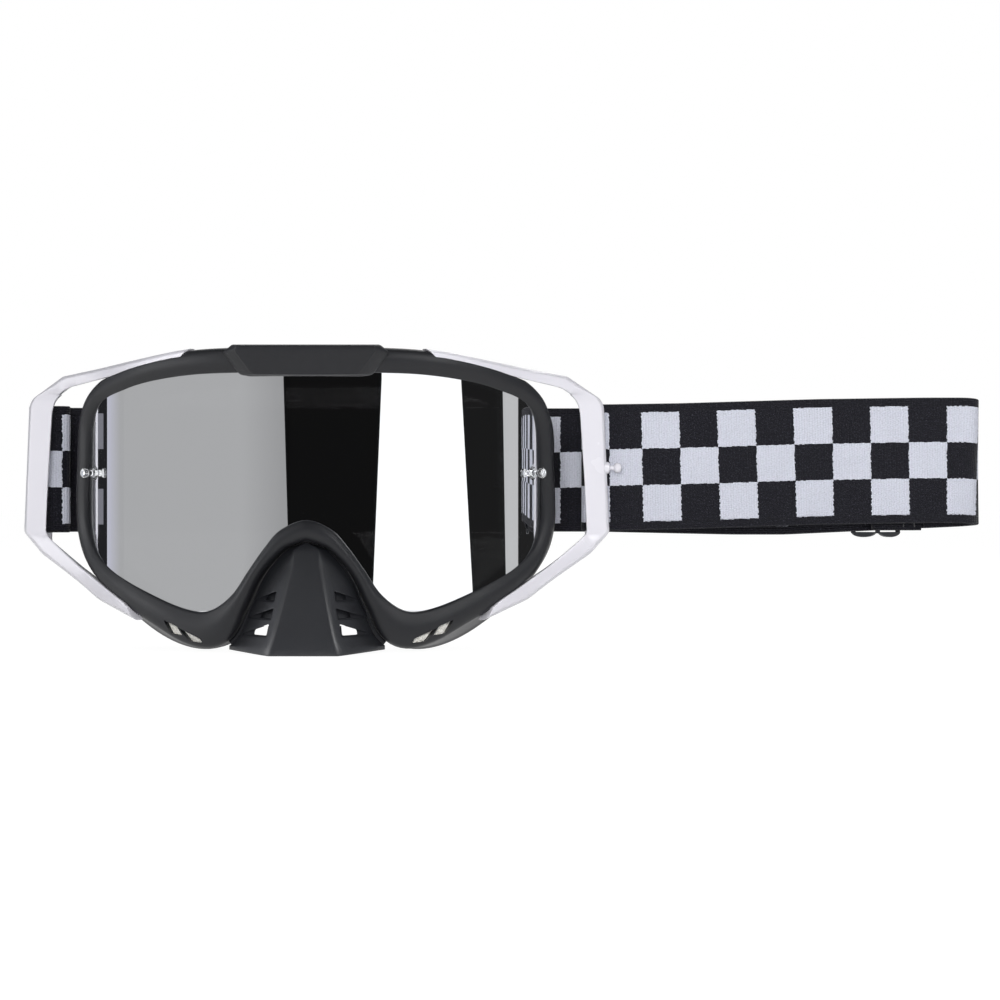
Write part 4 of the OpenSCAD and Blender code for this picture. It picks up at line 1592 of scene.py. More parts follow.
@dataclass
class LensSheet:
    """The lens with its two tear-off posts and their washers."""

    columns: int = 220
    rows: int = 40
    flat_r: float = 105.468
    wrap_from: float = 60.0
    wrap_to: float = 94.05
    wrap_turn: float = 10.0
    post_z: float = 61.0
    post_in: float = 2.6
    post_l: float = 6.0
    flange_d: float = 4.8
    neck_d: float = 2.2
    head_d: float = 3.3
    lift: float = 0.1

    def plan(self) -> tuple[np.ndarray, ...]:
        """The sheet's line in plan, which turns in a little more at its sides.

        Returns:
            x, y and the line's turn.
        """
        a = np.linspace(0, self.wrap_to + 2, 1200)
        part = np.clip((a - self.wrap_from) / (self.wrap_to - self.wrap_from), 0, 1)
        turn = a / self.flat_r + math.radians(self.wrap_turn) * part ** 2 * (3 - 2 * part)
        mid = (turn[1:] + turn[:-1]) / 2
        x = np.concatenate([[0], np.cumsum(np.cos(mid))]) * (a[1] - a[0])
        y = np.concatenate([[0], np.cumsum(np.sin(mid))]) * (a[1] - a[0]) + FORM.lens_y
        return x, y, turn

    def sheet(self) -> Object:
        """The curved sheet as one even grid, front and back.

        Returns:
            The sheet.
        """
        plan_x, plan_y, plan_turn = self.plan()
        ring = np.array([(s[4] + FORM.lens_lap * s[5], s[1] + FORM.lens_lap * s[6])
                         for s in FORM.stations(12)])
        reach = np.abs(ring[:, 0]).max() * 0.9998
        after = np.roll(ring, -1, 0)
        shell = Shell()
        cols = [reach * math.sin(math.pi / 2 * (2 * k / self.columns - 1))
                for k in range(self.columns + 1)]
        grids = []
        for h in (0.0, -FORM.lens_t):
            grid = []
            for a in cols:
                hit = (ring[:, 0] - a) * (after[:, 0] - a) <= 0
                hit &= ring[:, 0] != after[:, 0]
                t = (a - ring[hit, 0]) / (after[hit, 0] - ring[hit, 0])
                z = ring[hit, 1] + t * (after[hit, 1] - ring[hit, 1])
                on_plan = abs(FORM.lens_r * math.sin(a / FORM.lens_r))
                b = float(np.interp(on_plan, plan_x, plan_turn))
                x = math.copysign(on_plan + h * math.sin(b), a)
                y = float(np.interp(on_plan, plan_x, plan_y)) - h * math.cos(b)
                grid.append([(x, y, v) for v in np.linspace(z.min(), z.max(), self.rows + 1)])
            grids.append(grid)
        n, m = self.columns, self.rows
        back = (n + 1) * (m + 1)
        for grid, flip in zip(grids, (False, True)):
            shell.loft(grid, closed=False, flip=flip)
        edge = ([i * (m + 1) for i in range(n + 1)] + [n * (m + 1) + j for j in range(1, m + 1)]
                + [i * (m + 1) + m for i in range(n - 1, -1, -1)] + list(range(m - 1, 0, -1)))
        shell.faces += [(a, b, back + b, back + a) for a, b in zip(edge, edge[1:] + edge[:1])]
        return shell.build("lens_sheet", 35)

    def build(self) -> None:
        """Builds and dresses the sheet, the posts and the washers."""
        MIRROR.piece(self.sheet(), "mirror_lens", Body.GOGGLES, "lens")
        angle = math.asin((FORM.half_w - self.post_in) / FORM.lens_r)
        t, n, f, h = FORM.lens_t, self.neck_d / 2, self.flange_d / 2, self.head_d / 2
        profile = [(0, -t - 1.8), (n - 0.2, -t - 1.8), (n, -t - 1.6), (n, self.lift),
                   (f - 0.1, self.lift), (f, self.lift + 0.12), (f, 0.75), (f - 0.15, 0.9),
                   (n + 0.5, 1.3), (n + 0.12, 1.55), (n, 1.9), (n, self.post_l - 2.1),
                   (n + 0.1, self.post_l - 1.9), (h - 0.1, self.post_l - 1.62),
                   (h, self.post_l - 1.45), (h, self.post_l - 0.5), (h - 0.12, self.post_l - 0.2),
                   (h - 0.4, self.post_l - 0.04), (0, self.post_l)]
        ring = [(n + 0.05, -t - 0.15), (2.85, -t - 0.15), (3.0, -t - 0.3), (3.0, -t - 1.2),
                (2.85, -t - 1.35), (n + 0.05, -t - 1.35), (n + 0.05, -t - 0.15)]
        for side in Side:
            put = at_post(side, self.post_z, angle)
            CLEAR.piece(lathe(profile, put, f"tear_off_post_{side.word}"), "clear_post",
                        Body.GOGGLES, f"post_{side.word}")
            WASHER_GREY.piece(lathe(ring, put, f"washer_{side.word}"), "washer", Body.GOGGLES,
                              f"post_washer_{side.word}")


@dataclass
class Outrigger:
    """One outrigger: the arm with its front bar, the strap bar and its lugs."""

    side: Side
    loop_in: float = 2.6
    loop_y: float = 71.9
    loop_w: float = 5.0
    loop_t: float = 3.0
    low: float = 35.4
    high: float = 87.7
    lug_w: float = 4.0
    lug_h: float = 1.9
    stud_z: float = 63.0
    stud_l: float = 4.9
    stud_head_d: float = 3.5
    stud_neck_d: float = 1.6
    stud_foot_d: float = 4.2

    @staticmethod
    def outline(w: float, t: float) -> list[Point]:
        """Across-section of the arm: a flat face with its outer edge cut off.

        Args:
            w: Width.
            t: Thickness.

        Returns:
            The section's points.
        """
        cut = min(1.5, w / 3)
        r = min(0.45, w / 8)
        corners = [(-w / 2, -t / 2, r), (-w / 2, t / 2 - cut, r), (-w / 2 + cut, t / 2, r),
                   (w / 2, t / 2, min(0.8, w / 4)), (w / 2 - min(1.9, w / 4), -t / 2, r)]
        return [(p[0], p[1]) for p in rounded([((a, b, 0), c) for a, b, c in corners], 5)]

    def strap_bar(self) -> Object:
        """The upright bar that the strap loops round.

        Returns:
            The bar.
        """
        s, x = self.side.value, ARM.bar_x - self.loop_in
        rows = []
        for z, inset in ((self.low, 0.5), (self.low + 0.15, 0.15), (self.low + 0.5, 0.0),
                         (self.high - 0.5, 0.0), (self.high - 0.15, 0.15), (self.high, 0.5)):
            r, half = self.loop_t / 2 - inset, (self.loop_w - self.loop_t) / 2
            ring = []
            for k in range(32):
                a = 2 * math.pi * k / 32
                ring.append((s * x + r * math.cos(a) + (half if math.cos(a) > 0 else -half),
                             self.loop_y + r * math.sin(a), z))
            rows.append(ring)
        return lofted(rows, "bar", 35)

    def lug(self, z: float) -> Object:
        """One lug between the front bar and the strap bar.

        Args:
            z: Height of its foot.

        Returns:
            The lug.
        """
        x = self.side.value * (ARM.bar_x - self.loop_in - 0.4)
        w, h = self.lug_w / 2, self.lug_h
        rows = []
        for y, grow in ((ARM.bar_y - 1, 0.5), (ARM.bar_y + 1.6, 0.45), (ARM.bar_y + 2.6, 0.1),
                        (self.loop_y - 2.4, 0.0), (self.loop_y, 0.0)):
            line = [(x - w - grow * 0.3, y, z - grow * 0.5), (x + w, y, z - grow * 0.5),
                    (x + w, y, z + h + grow * 0.5), (x - w - grow * 0.3, y, z + h + grow * 0.5)]
            rows.append(soften(line, [0.45] * 4, 3))
        return lofted(rows, "lug")

    def stud(self) -> Object:
        """The stud on the outer side of the front bar.

        Returns:
            The stud.
        """
        x = ARM.bar_x - 0.9 + ARM.bar_w / 2 - 1
        n, h, e = self.stud_neck_d / 2, self.stud_head_d / 2, self.stud_l
        f = self.stud_foot_d / 2
        profile = [(0, -2), (f, -2), (f, 0.6), (f - 0.25, 0.95), (n + 0.3, 1.1), (n, 1.4),
                   (n, e - 2.5), (n + 0.15, e - 2.25), (h - 0.35, e - 2.0), (h - 0.05, e - 1.5),
                   (h, e - 1.0), (h - 0.1, e - 0.35), (h - 0.45, e + 0.15), (h - 1.0, e + 0.4),
                   (0, e + 0.5)]
        return lathe(profile, lambda p: (x + p[2], ARM.bar_y + p[1], self.stud_z - p[0]), "stud")

    def build(self) -> Object:
        """Builds and dresses the outrigger.

        Returns:
            The finished piece.
        """
        rows = ARM.rows(0.0, self.outline, self.side)
        arm = lofted(rows, "arm", 28, flip=self.side is Side.LEFT)
        parts = [arm, self.strap_bar(), self.lug(self.low), self.lug(self.high - self.lug_h)]
        if self.side is Side.RIGHT:
            parts.append(self.stud())
        return GLOSS_WHITE.piece(joined(f"outrigger_arm_{self.side.word}", parts), "gloss_white",
                                 Body.GOGGLES, f"outrigger_{self.side.word}")


@dataclass
class NoseGuard:
    """The pull-off nose guard with its louvres."""

    panel_w: float = 21.0
    panel_top_w: float = 8.0
    wall: float = 2.2
    foot_y: float = 1.1
    gap: float = 0.4
    crease: float = 0.19
    lean: float = 16.0
    edge_y: float = 16.4
    levels: int = 56
    columns: int = 22
    first_knot: float = 14.0
    edge_step: float = 0.1
    vane_z: tuple[float, float] = (11.4, 22.6)
    vane_x: float = 9.0
    vane_gap: float = 0.9
    vane_t: float = 0.8
    bevel_w: float = 0.28
    bevel_deg: float = 48.0
    louvres: Rows = (
        (10.2, 17.4, 17.6, 21.2, 0.45), (11.0, 19.6, 11.7, 15.6, 0.48),
        (12.3, 21.9, 6.1, 10.4, 0.52))

    def __post_init__(self) -> None:
        """Reads the nose arch's edge."""
        edge = []
        for k in range(48):
            u = self.first_knot + self.edge_step * k
            if u > len(FORM.half) - 1.05:
                break
            s = FORM.station(u)
            p = FORM.on_lens(s, s[2] + self.gap, -6)
            edge.append((p[2], max(0.4, p[0])))
        edge.sort()
        self.edge_z, self.edge_x = (np.array(c) for c in zip(*edge))
        last = FORM.half[-1]
        self.top = FORM.lens_z + last[1] * FORM.lens_h - last[2] - self.gap - 0.3

    def half(self, z: float) -> float:
        """Half the guard's width at z."""
        return float(np.interp(z, self.edge_z, self.edge_x)) * (0.75 if z > self.top - 0.6 else 1)

    def front(self, z: float) -> float:
        """Depth of the middle panel at z."""
        return -self.foot_y + self.lean * (max(z, 0.0) / self.top) ** 1.45

    def panel(self, z: float) -> float:
        """Half the width of the middle panel at z."""
        w = self.panel_w - (self.panel_w - self.panel_top_w) * min(1.0, z / 29)
        return min(0.6 * self.half(z), w / 2)

    def depth(self, x: float, z: float) -> float:
        """Depth of the front at a point, the panel's edges slightly eased.

        Args:
            x: Distance from the middle.
            z: Height.

        Returns:
            The depth.
        """
        p = self.panel(z)
        t, e = max(0.0, (abs(x) - p) / (self.half(z) - p)), self.crease
        rise = (math.hypot(t, e) - e) / (math.hypot(1, e) - e)
        return self.front(z) + (self.edge_y - self.front(z)) * rise

    def level(self, z: float) -> list[Point]:
        """The guard's section at one height, front then back.

        Args:
            z: Height.

        Returns:
            The section's points.
        """
        h, p, n = self.half(z), self.panel(z), self.columns
        part = [(k / (n - 1)) ** 1.25 for k in range(n)]
        wing = [p + (h - p) * t for t in part]
        middle = [p * k / 5 for k in range(-4, 5)]
        xs = [-x for x in wing[::-1]] + middle + wing

        def rise(x: float) -> float:
            """Lift of the lowest edge away from the middle panel."""
            lift = max(0.0, (abs(x) - p - 1) * 0.085)
            return z + lift * max(0.0, 1 - z / 3.0)
        front = [(x, self.depth(x, z), rise(x)) for x in xs]
        back = [(x, self.depth(x, z) + self.wall, rise(x)) for x in xs[::-1]]
        return front + back

    def wedge(self, corners: Sequence[tuple[float, float, float]], name: str) -> Object:
        """A cutter that goes into the guard's front to its own depth at each corner.

        Args:
            corners: (x, z, depth) of each corner, going round.
            name: Name of the object.

        Returns:
            The closed body.
        """
        line = soften(corners, [0.5] * len(corners), 3)
        outer = [(p[0], self.depth(p[0], p[1]) - 3.0, p[1]) for p in line]
        inner = [(p[0], self.depth(p[0], p[1]) + p[2], p[1]) for p in line]
        return lofted([outer, inner], name)

    def vane(self, side: Side) -> Object:
        """The baffle behind the two upper louvres.

        Args:
            side: Side of the goggles.

        Returns:
            The baffle.
        """
        rows = []
        for z in np.linspace(*self.vane_z, 12):
            xs = np.linspace(self.vane_x, self.half(z) - self.vane_t, 10)
            back = [(side.value * x, self.depth(x, z) + self.wall + self.vane_gap, z) for x in xs]
            rows.append(back + [(x, y + self.vane_t, z) for x, y, _ in back[::-1]])
        return lofted(rows, "vane", flip=side is Side.LEFT)

    def louvre(self, side: Side, spec: Point) -> list[Object]:
        """Cutters for one louvre: a scoop that deepens inwards and its opening.

        Args:
            side: Side of the guard.
            spec: Inner end, outer end, low, high and the open share of its length.

        Returns:
            The scoop and the opening.
        """
        a, b, low, high, share = spec
        s = side.value
        open_x = a + (b - a) * share
        open_z = high - 0.5 - (high - low - 1.2) * share
        scoop = [(s * a, low, 0.7), (s * b, low + 0.1, 0.25), (s * (b - 0.5), low + 0.75, 0.7),
                 (s * (a - 0.6), high, 2.5)]
        hole = [(s * (a + 0.25), low + 0.45, 9.0), (s * open_x, low + 0.5, 9.0),
                (s * (open_x - 0.4), open_z, 9.0), (s * (a - 0.2), high - 0.4, 9.0)]
        return [self.wedge(scoop, "scoop"), self.wedge(hole, "hole")]

    def build(self) -> Object:
        """Builds and dresses the nose guard.

        Returns:
            The finished piece.
        """
        zs = [self.top * math.sin(math.pi / 2 * k / self.levels) for k in range(self.levels + 1)]
        shell = lofted([self.level(z) for z in zs], "guard", 30)
        pairs = [self.louvre(side, spec) for side in Side for spec in self.louvres]
        for n in (1, 0):
            carved(shell, joined("cut_louvres", [pair[n] for pair in pairs]), 30)
        shell = joined("nose_guard_shell", [shell] + [self.vane(side) for side in Side])
        bevel = shell.modifiers.new("edges", "BEVEL")
        bevel.width, bevel.segments, bevel.limit_method = self.bevel_w * MM, 2, "ANGLE"
        bevel.angle_limit = math.radians(self.bevel_deg)
        return GUARD_BLACK.piece(baked(shell, 30), "guard_black", Body.NOSE_GUARD, "nose_guard")


@dataclass
class FaceFoam:
    """The three foam layers between the frame and the face."""

    step: int = 8

    def layer(self, name: str, start: float, end: float, swell: float,
              wander: float) -> Object:
        """One ring of foam with crowned sides that wander a little.

        Args:
            name: Name of the piece.
            start: Front depth before the face.
            end: Rear depth before the face.
            swell: How far the sides stand out.
            wander: Size of the slow unevenness of the sides.

        Returns:
            The ring.
        """
        rows = []
        stations = FORM.stations(self.step)
        for k, s in enumerate(stations):
            a = 2 * math.pi * k / len(stations)
            w1, w2 = (wander * (math.sin(i * a + p) + 0.6 * math.sin(j * a + q)
                                + 0.4 * math.sin(m * a + r))
                      for i, p, j, q, m, r in ((7, 0.4, 17, 1.9, 41, 0), (6, 2.2, 19, 0.7, 37, 1)))
            f, g = s[3] - 0.3, s[3] - 0.3 - FORM.foam_w
            mid, t = (start + end) / 2, (start - end)
            crown = 0.45 if end < 0.5 else 0.0
            plan = ((f - 0.5, start, 0.3), (f + swell + w1 * 0.5, mid + 0.2 * t, 0.5 * t),
                    (f + swell + w1 * 0.5, mid - 0.2 * t, 0.5 * t),
                    (f - 0.6, end - crown * 0.4, 0.35 * t + 0.3 * crown),
                    ((f * 3 + g) / 4, end - crown, 0.5), ((f + g) / 2, end - crown * 1.1, 0.5),
                    ((f + g * 3) / 4, end - crown, 0.5),
                    (g + 0.6, end - crown * 0.4, 0.35 * t + 0.3 * crown),
                    (g - swell - w2 * 0.5, mid - 0.2 * t, 0.5 * t),
                    (g - swell - w2 * 0.5, mid + 0.2 * t, 0.5 * t), (g + 0.5, start, 0.3),
                    ((f + g) / 2, start, 0.1))
            corners = [(FORM.on_face(s, q, d), r) for q, d, r in plan]
            rows.append([(p[0], p[1], max(0.12, p[2])) for p in rounded(corners)])
        return lofted(rows, name, 60, ring=True)

    def build(self) -> None:
        """Builds and dresses the layers."""
        f = FORM
        plan = (("foam_layer_base", f.foam_t - f.glue, f.mid_t + f.fleece_t, 0.15, 0.12,
                 FIRM_FOAM, "foam_firm", "foam_base"),
                ("foam_layer_middle", f.mid_t + f.fleece_t - f.glue, f.fleece_t, 0.45, 0.3,
                 SOFT_FOAM, "foam_soft", "foam_mid"),
                ("fleece_layer", f.fleece_t - f.glue, 0.0, 0.3, 0.25, FACE_FLEECE, "fleece",
                 "foam_face"))
        for name, start, end, swell, wander, finish, slot, node in plan:
            finish.piece(self.layer(name, start, end, swell, wander), slot, Body.GOGGLES, node,
                         fill=0.8)


@dataclass
class VentFilters:
    """Open foam under the top slots and behind the slots under each eye."""

    def top(self) -> Object:
        """The strip under the slots of the top wall.

        Returns:
            The strip.
        """
        n = len(FORM.knots)
        rows = []
        for k in range(105):
            s = FORM.station((n - 2.6 + 0.05 * k) % n)
            up = s[3] - 1 - FORM.wall_t - 0.4
            y0 = FORM.lens_front(s[0]) + 6.5
            y1 = FORM.face_line(s[0]) - FORM.foam_t - FORM.flange_t - 0.6
            sag = 0.12 * math.sin(k * 0.31) + 0.08 * math.sin(k * 0.83)
            corners = [(s[0], y1, s[1] + up - 2 - sag), (s[0], y1, s[1] + up),
                       (s[0], (y0 + y1) / 2, s[1] + up), (s[0], y0, s[1] + up),
                       (s[0], y0, s[1] + up - 2 - sag),
                       (s[0], (y0 + y1) / 2, s[1] + up - 2.1 - sag)]
            rows.append(soften(corners, [0.45, 0.45, 0.1, 0.45, 0.45, 0.1], 3))
        return lofted(rows, "top_filter_strip", 60)

    def bottom(self, side: Side, house: GoggleFrame) -> Object:
        """The pad behind the slots under one eye.

        Args:
            side: Side of the goggles.
            house: Frame whose vents it lies behind.

        Returns:
            The pad.
        """
        line = [(-side.value * x * 0.95, (z - 6.5) * 0.93 + 6.5) for x, z in house.pocket]
        y1 = -FORM.rim_h + house.vent_skin + 3.4
        y0 = y1 - 3.2
        rows = []
        for y, t in ((y0, 0.08), (y0 + 0.2, 0.02), (y0 + 0.6, 0.0), (y1 - 0.6, 0.0),
                     (y1 - 0.2, 0.02), (y1, 0.08)):
            ring = soften([(x * (1 - t), y, 6.5 + (z - 6.5) * (1 - t)) for x, z in line],
                          [0.8] * 6, 4)
            rows.append([house.at_vent(side)(p) for p in ring])
        return lofted(rows, f"eye_filter_{side.word}", 50)

    def build(self, house: GoggleFrame) -> None:
        """Builds and dresses the filters, which that frame holds.

        Args:
            house: The frame.
        """
        DARK_FILTER.piece(self.top(), "filter_dark", Body.GOGGLES, "top_vent_filter", fill=0.9)
        for side in Side:
            CREAM_FILTER_AND_BACKLIGHT.piece(self.bottom(side, house), "filter_cream", Body.GOGGLES,
                               f"bottom_vent_filter_{side.word}", fill=0.9)


# The strap.


@dataclass
class StrapRoute:
    """The routes of the band's middle line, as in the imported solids."""

    band_w: float = 45.2
    band_t: float = 1.4
    band_gap: float = 0.3
    bar_gap: float = 0.25
    face_gap: float = 4.9
    fold_x: float = 238.2
    fold_r: float = 5.0
    fold_y: float = 81.9
    slider_right_x: float = 202.0
    slider_left_x: float = 60.0
    slider_bar_d: float = 1.8
    left_z: float = 62.6
    right_z: float = 63.2
    fold_z: float = 65.9
    fold_low_z: float = 64.6
    dip_z: float = 61.6
    left_loose: float = 5.2
    turn_r: float = 4.0
    end_l: float = 16.0
    seam: float = 0.1

    def __post_init__(self) -> None:
        """Works out the places that the routes share."""
        loop_x, loop_y = ARM.bar_x - Outrigger.loop_in, Outrigger.loop_y
        loop_t, loop_w, loose = Outrigger.loop_t, Outrigger.loop_w, self.bar_gap
        self.loop_x, self.loop_y = loop_x, loop_y
        self.lay = self.band_t + self.band_gap
        self.front_lay = loop_y - loop_t / 2 - loose - self.band_t / 2
        self.back_lay = loop_y + loop_t / 2 + loose + self.band_t / 2
        self.wrap_r = (self.back_lay - self.front_lay) / 2
        self.wrap_x = loop_x - (loop_w - loop_t) / 2
        self.dip_x = self.slider_right_x - 34
        self.fold_cx = self.fold_x - self.fold_r - self.band_t / 2
        self.run_y = FORM.face_line(FORM.half_w + 8) + self.face_gap
        self.turn_x = -(loop_x + 1.5)
        self.turn_y = self.run_y - self.face_gap
        self.run_from = self.turn_x + 37.4
        self.slope = ((self.fold_low_z - 0.2 - self.dip_z) / (self.fold_cx - 4 - self.dip_x))
        self.slant_from = (self.dip_x - 18, self.fold_y + self.fold_r + 0.4, self.dip_z)
        self.slant_to = (self.dip_x - 68, self.run_y - 0.4, self.left_z)
        self.left_run = [(self.turn_x + 3, self.turn_y + 0.3, self.left_z),
                         (self.turn_x + 15, self.run_y - 2.1, self.left_z),
                         (self.turn_x + 27, self.run_y - 0.3, self.left_z),
                         (self.run_from, self.run_y, self.left_z)]

    def slope_z(self, x: float) -> float:
        """Height of the back run's middle at x."""
        return self.dip_z + (x - self.dip_x) * self.slope

    @staticmethod
    def arc(cx: float, cy: float, r: float, a0: float, a1: float, n: int, z0: float,
            z1: float | None = None) -> list[Point]:
        """Points round an arc in plan.

        Args:
            cx: X of its middle.
            cy: Y of its middle.
            r: Radius.
            a0: First angle, in degrees.
            a1: Last angle.
            n: Number of steps.
            z0: Height at the first angle.
            z1: Height at the last angle, or None for the same.

        Returns:
            The points.
        """
        rise = 0.0 if z1 is None else z1 - z0
        return [(cx + r * math.cos(math.radians(a0 + (a1 - a0) * k / n)),
                 cy + r * math.sin(math.radians(a0 + (a1 - a0) * k / n)),
                 z0 + rise * k / n) for k in range(n + 1)]

    @staticmethod
    def aside(route: Sequence[Point], d: float) -> list[Point]:
        """A route moved sideways by d in plan, to the left of its run.

        Args:
            route: Points of the route.
            d: Distance to move it.

        Returns:
            The moved points.
        """
        out = []
        for i, p in enumerate(route):
            a, b = route[max(i - 1, 0)], route[min(i + 1, len(route) - 1)]
            v = unit((b[0] - a[0], b[1] - a[1]))
            out.append((p[0] - v[1] * d, p[1] + v[0] * d, p[2]))
        return out

    def to_fold(self, lay: float) -> list[Point]:
        """The front run, round the fold, to where the back run starts.

        Args:
            lay: How far this run lies inside the main band's.

        Returns:
            The points.
        """
        s, front = self, self.fold_y - self.fold_r + lay
        return ([(130, s.front_lay + 2.6 + lay, s.right_z + 0.5),
                 (180, front - 1.9, s.fold_z - 0.6), (s.fold_cx - 14, front, s.fold_z)]
                + s.arc(s.fold_cx, s.fold_y, s.fold_r - lay, -90, 90, 24, s.fold_z, s.fold_low_z)
                + [(s.fold_cx - 4, s.fold_y + s.fold_r - lay, s.slope_z(s.fold_cx - 4))])

    def main(self) -> list[Point]:
        """Main band, from the right strap bar by the fold to the left strap bar.

        Returns:
            The points.
        """
        s, z = self, self.left_z
        back = s.fold_y + s.fold_r
        return (s.arc(s.wrap_x, s.loop_y, s.wrap_r, 90, 270, 20, s.right_z)
                + [(s.loop_x + 6, s.front_lay + 0.2, s.right_z)] + s.to_fold(0.0)
                + [(s.dip_x, back, s.dip_z), (s.dip_x - 8, back, s.dip_z), s.slant_from,
                   s.slant_to, (s.slant_to[0] - 10, s.run_y, z), (0, s.run_y, z)]
                + s.left_run[::-1]
                + s.arc(s.turn_x, s.turn_y - s.turn_r, s.turn_r, 90, 180, 12, z)
                + s.arc(s.turn_x, s.front_lay + s.turn_r, s.turn_r, 180, 270, 12, z)
                + s.arc(s.left_loose - s.wrap_x, s.loop_y, s.wrap_r, -90, 90, 20, z))

    def tail(self, side: Side) -> list[Point]:
        """Doubled tail from one strap bar towards its slider.

        Args:
            side: Side of the goggles.

        Returns:
            The points.
        """
        s = self
        if side is Side.RIGHT:
            return [(s.wrap_x + 1, s.back_lay, s.right_z),
                    (s.loop_x + 5, s.back_lay - 0.1, s.right_z),
                    (s.loop_x + 18, s.front_lay + 1.5 + s.lay, s.right_z + 0.2),
                    *s.to_fold(s.lay)]
        r = s.turn_r - s.lay
        return ([(s.left_loose - s.wrap_x - 1, s.back_lay, s.left_z)]
                + s.arc(s.turn_x, s.back_lay + r, r, 270, 180, 12, s.left_z)
                + s.arc(s.turn_x, s.turn_y - s.turn_r, r, 180, 90, 12, s.left_z)
                + s.aside(s.left_run, -s.lay))

    def slack(self, side: Side) -> list[Point]:
        """Tail stretch to the sewn end, which grows as the slider moves on the real strap.

        Args:
            side: Side of the goggles.

        Returns:
            The points.
        """
        s = self
        if side is Side.RIGHT:
            a, b = s.slider_right_x + s.end_l + s.seam, s.fold_cx - 4 - s.seam
            return [(x, s.fold_y + s.fold_r - s.lay, s.slope_z(x)) for x in (a, (a + b) / 2, b)]
        a, b = s.run_from + s.seam, s.slider_left_x - s.end_l - s.seam
        return [(x, s.run_y - s.lay, s.left_z) for x in (a, (a + b) / 2, b)]

    def slider_at(self, side: Side) -> np.ndarray:
        """Place of a slider: X along the band, Y outwards, Z up.

        Args:
            side: Side of the goggles.

        Returns:
            The place.
        """
        if side is Side.RIGHT:
            x = self.slider_right_x
            return np.array([x, self.fold_y + self.fold_r, self.slope_z(x)])
        return np.array([self.slider_left_x, self.run_y, self.left_z])


ROUTE = StrapRoute()


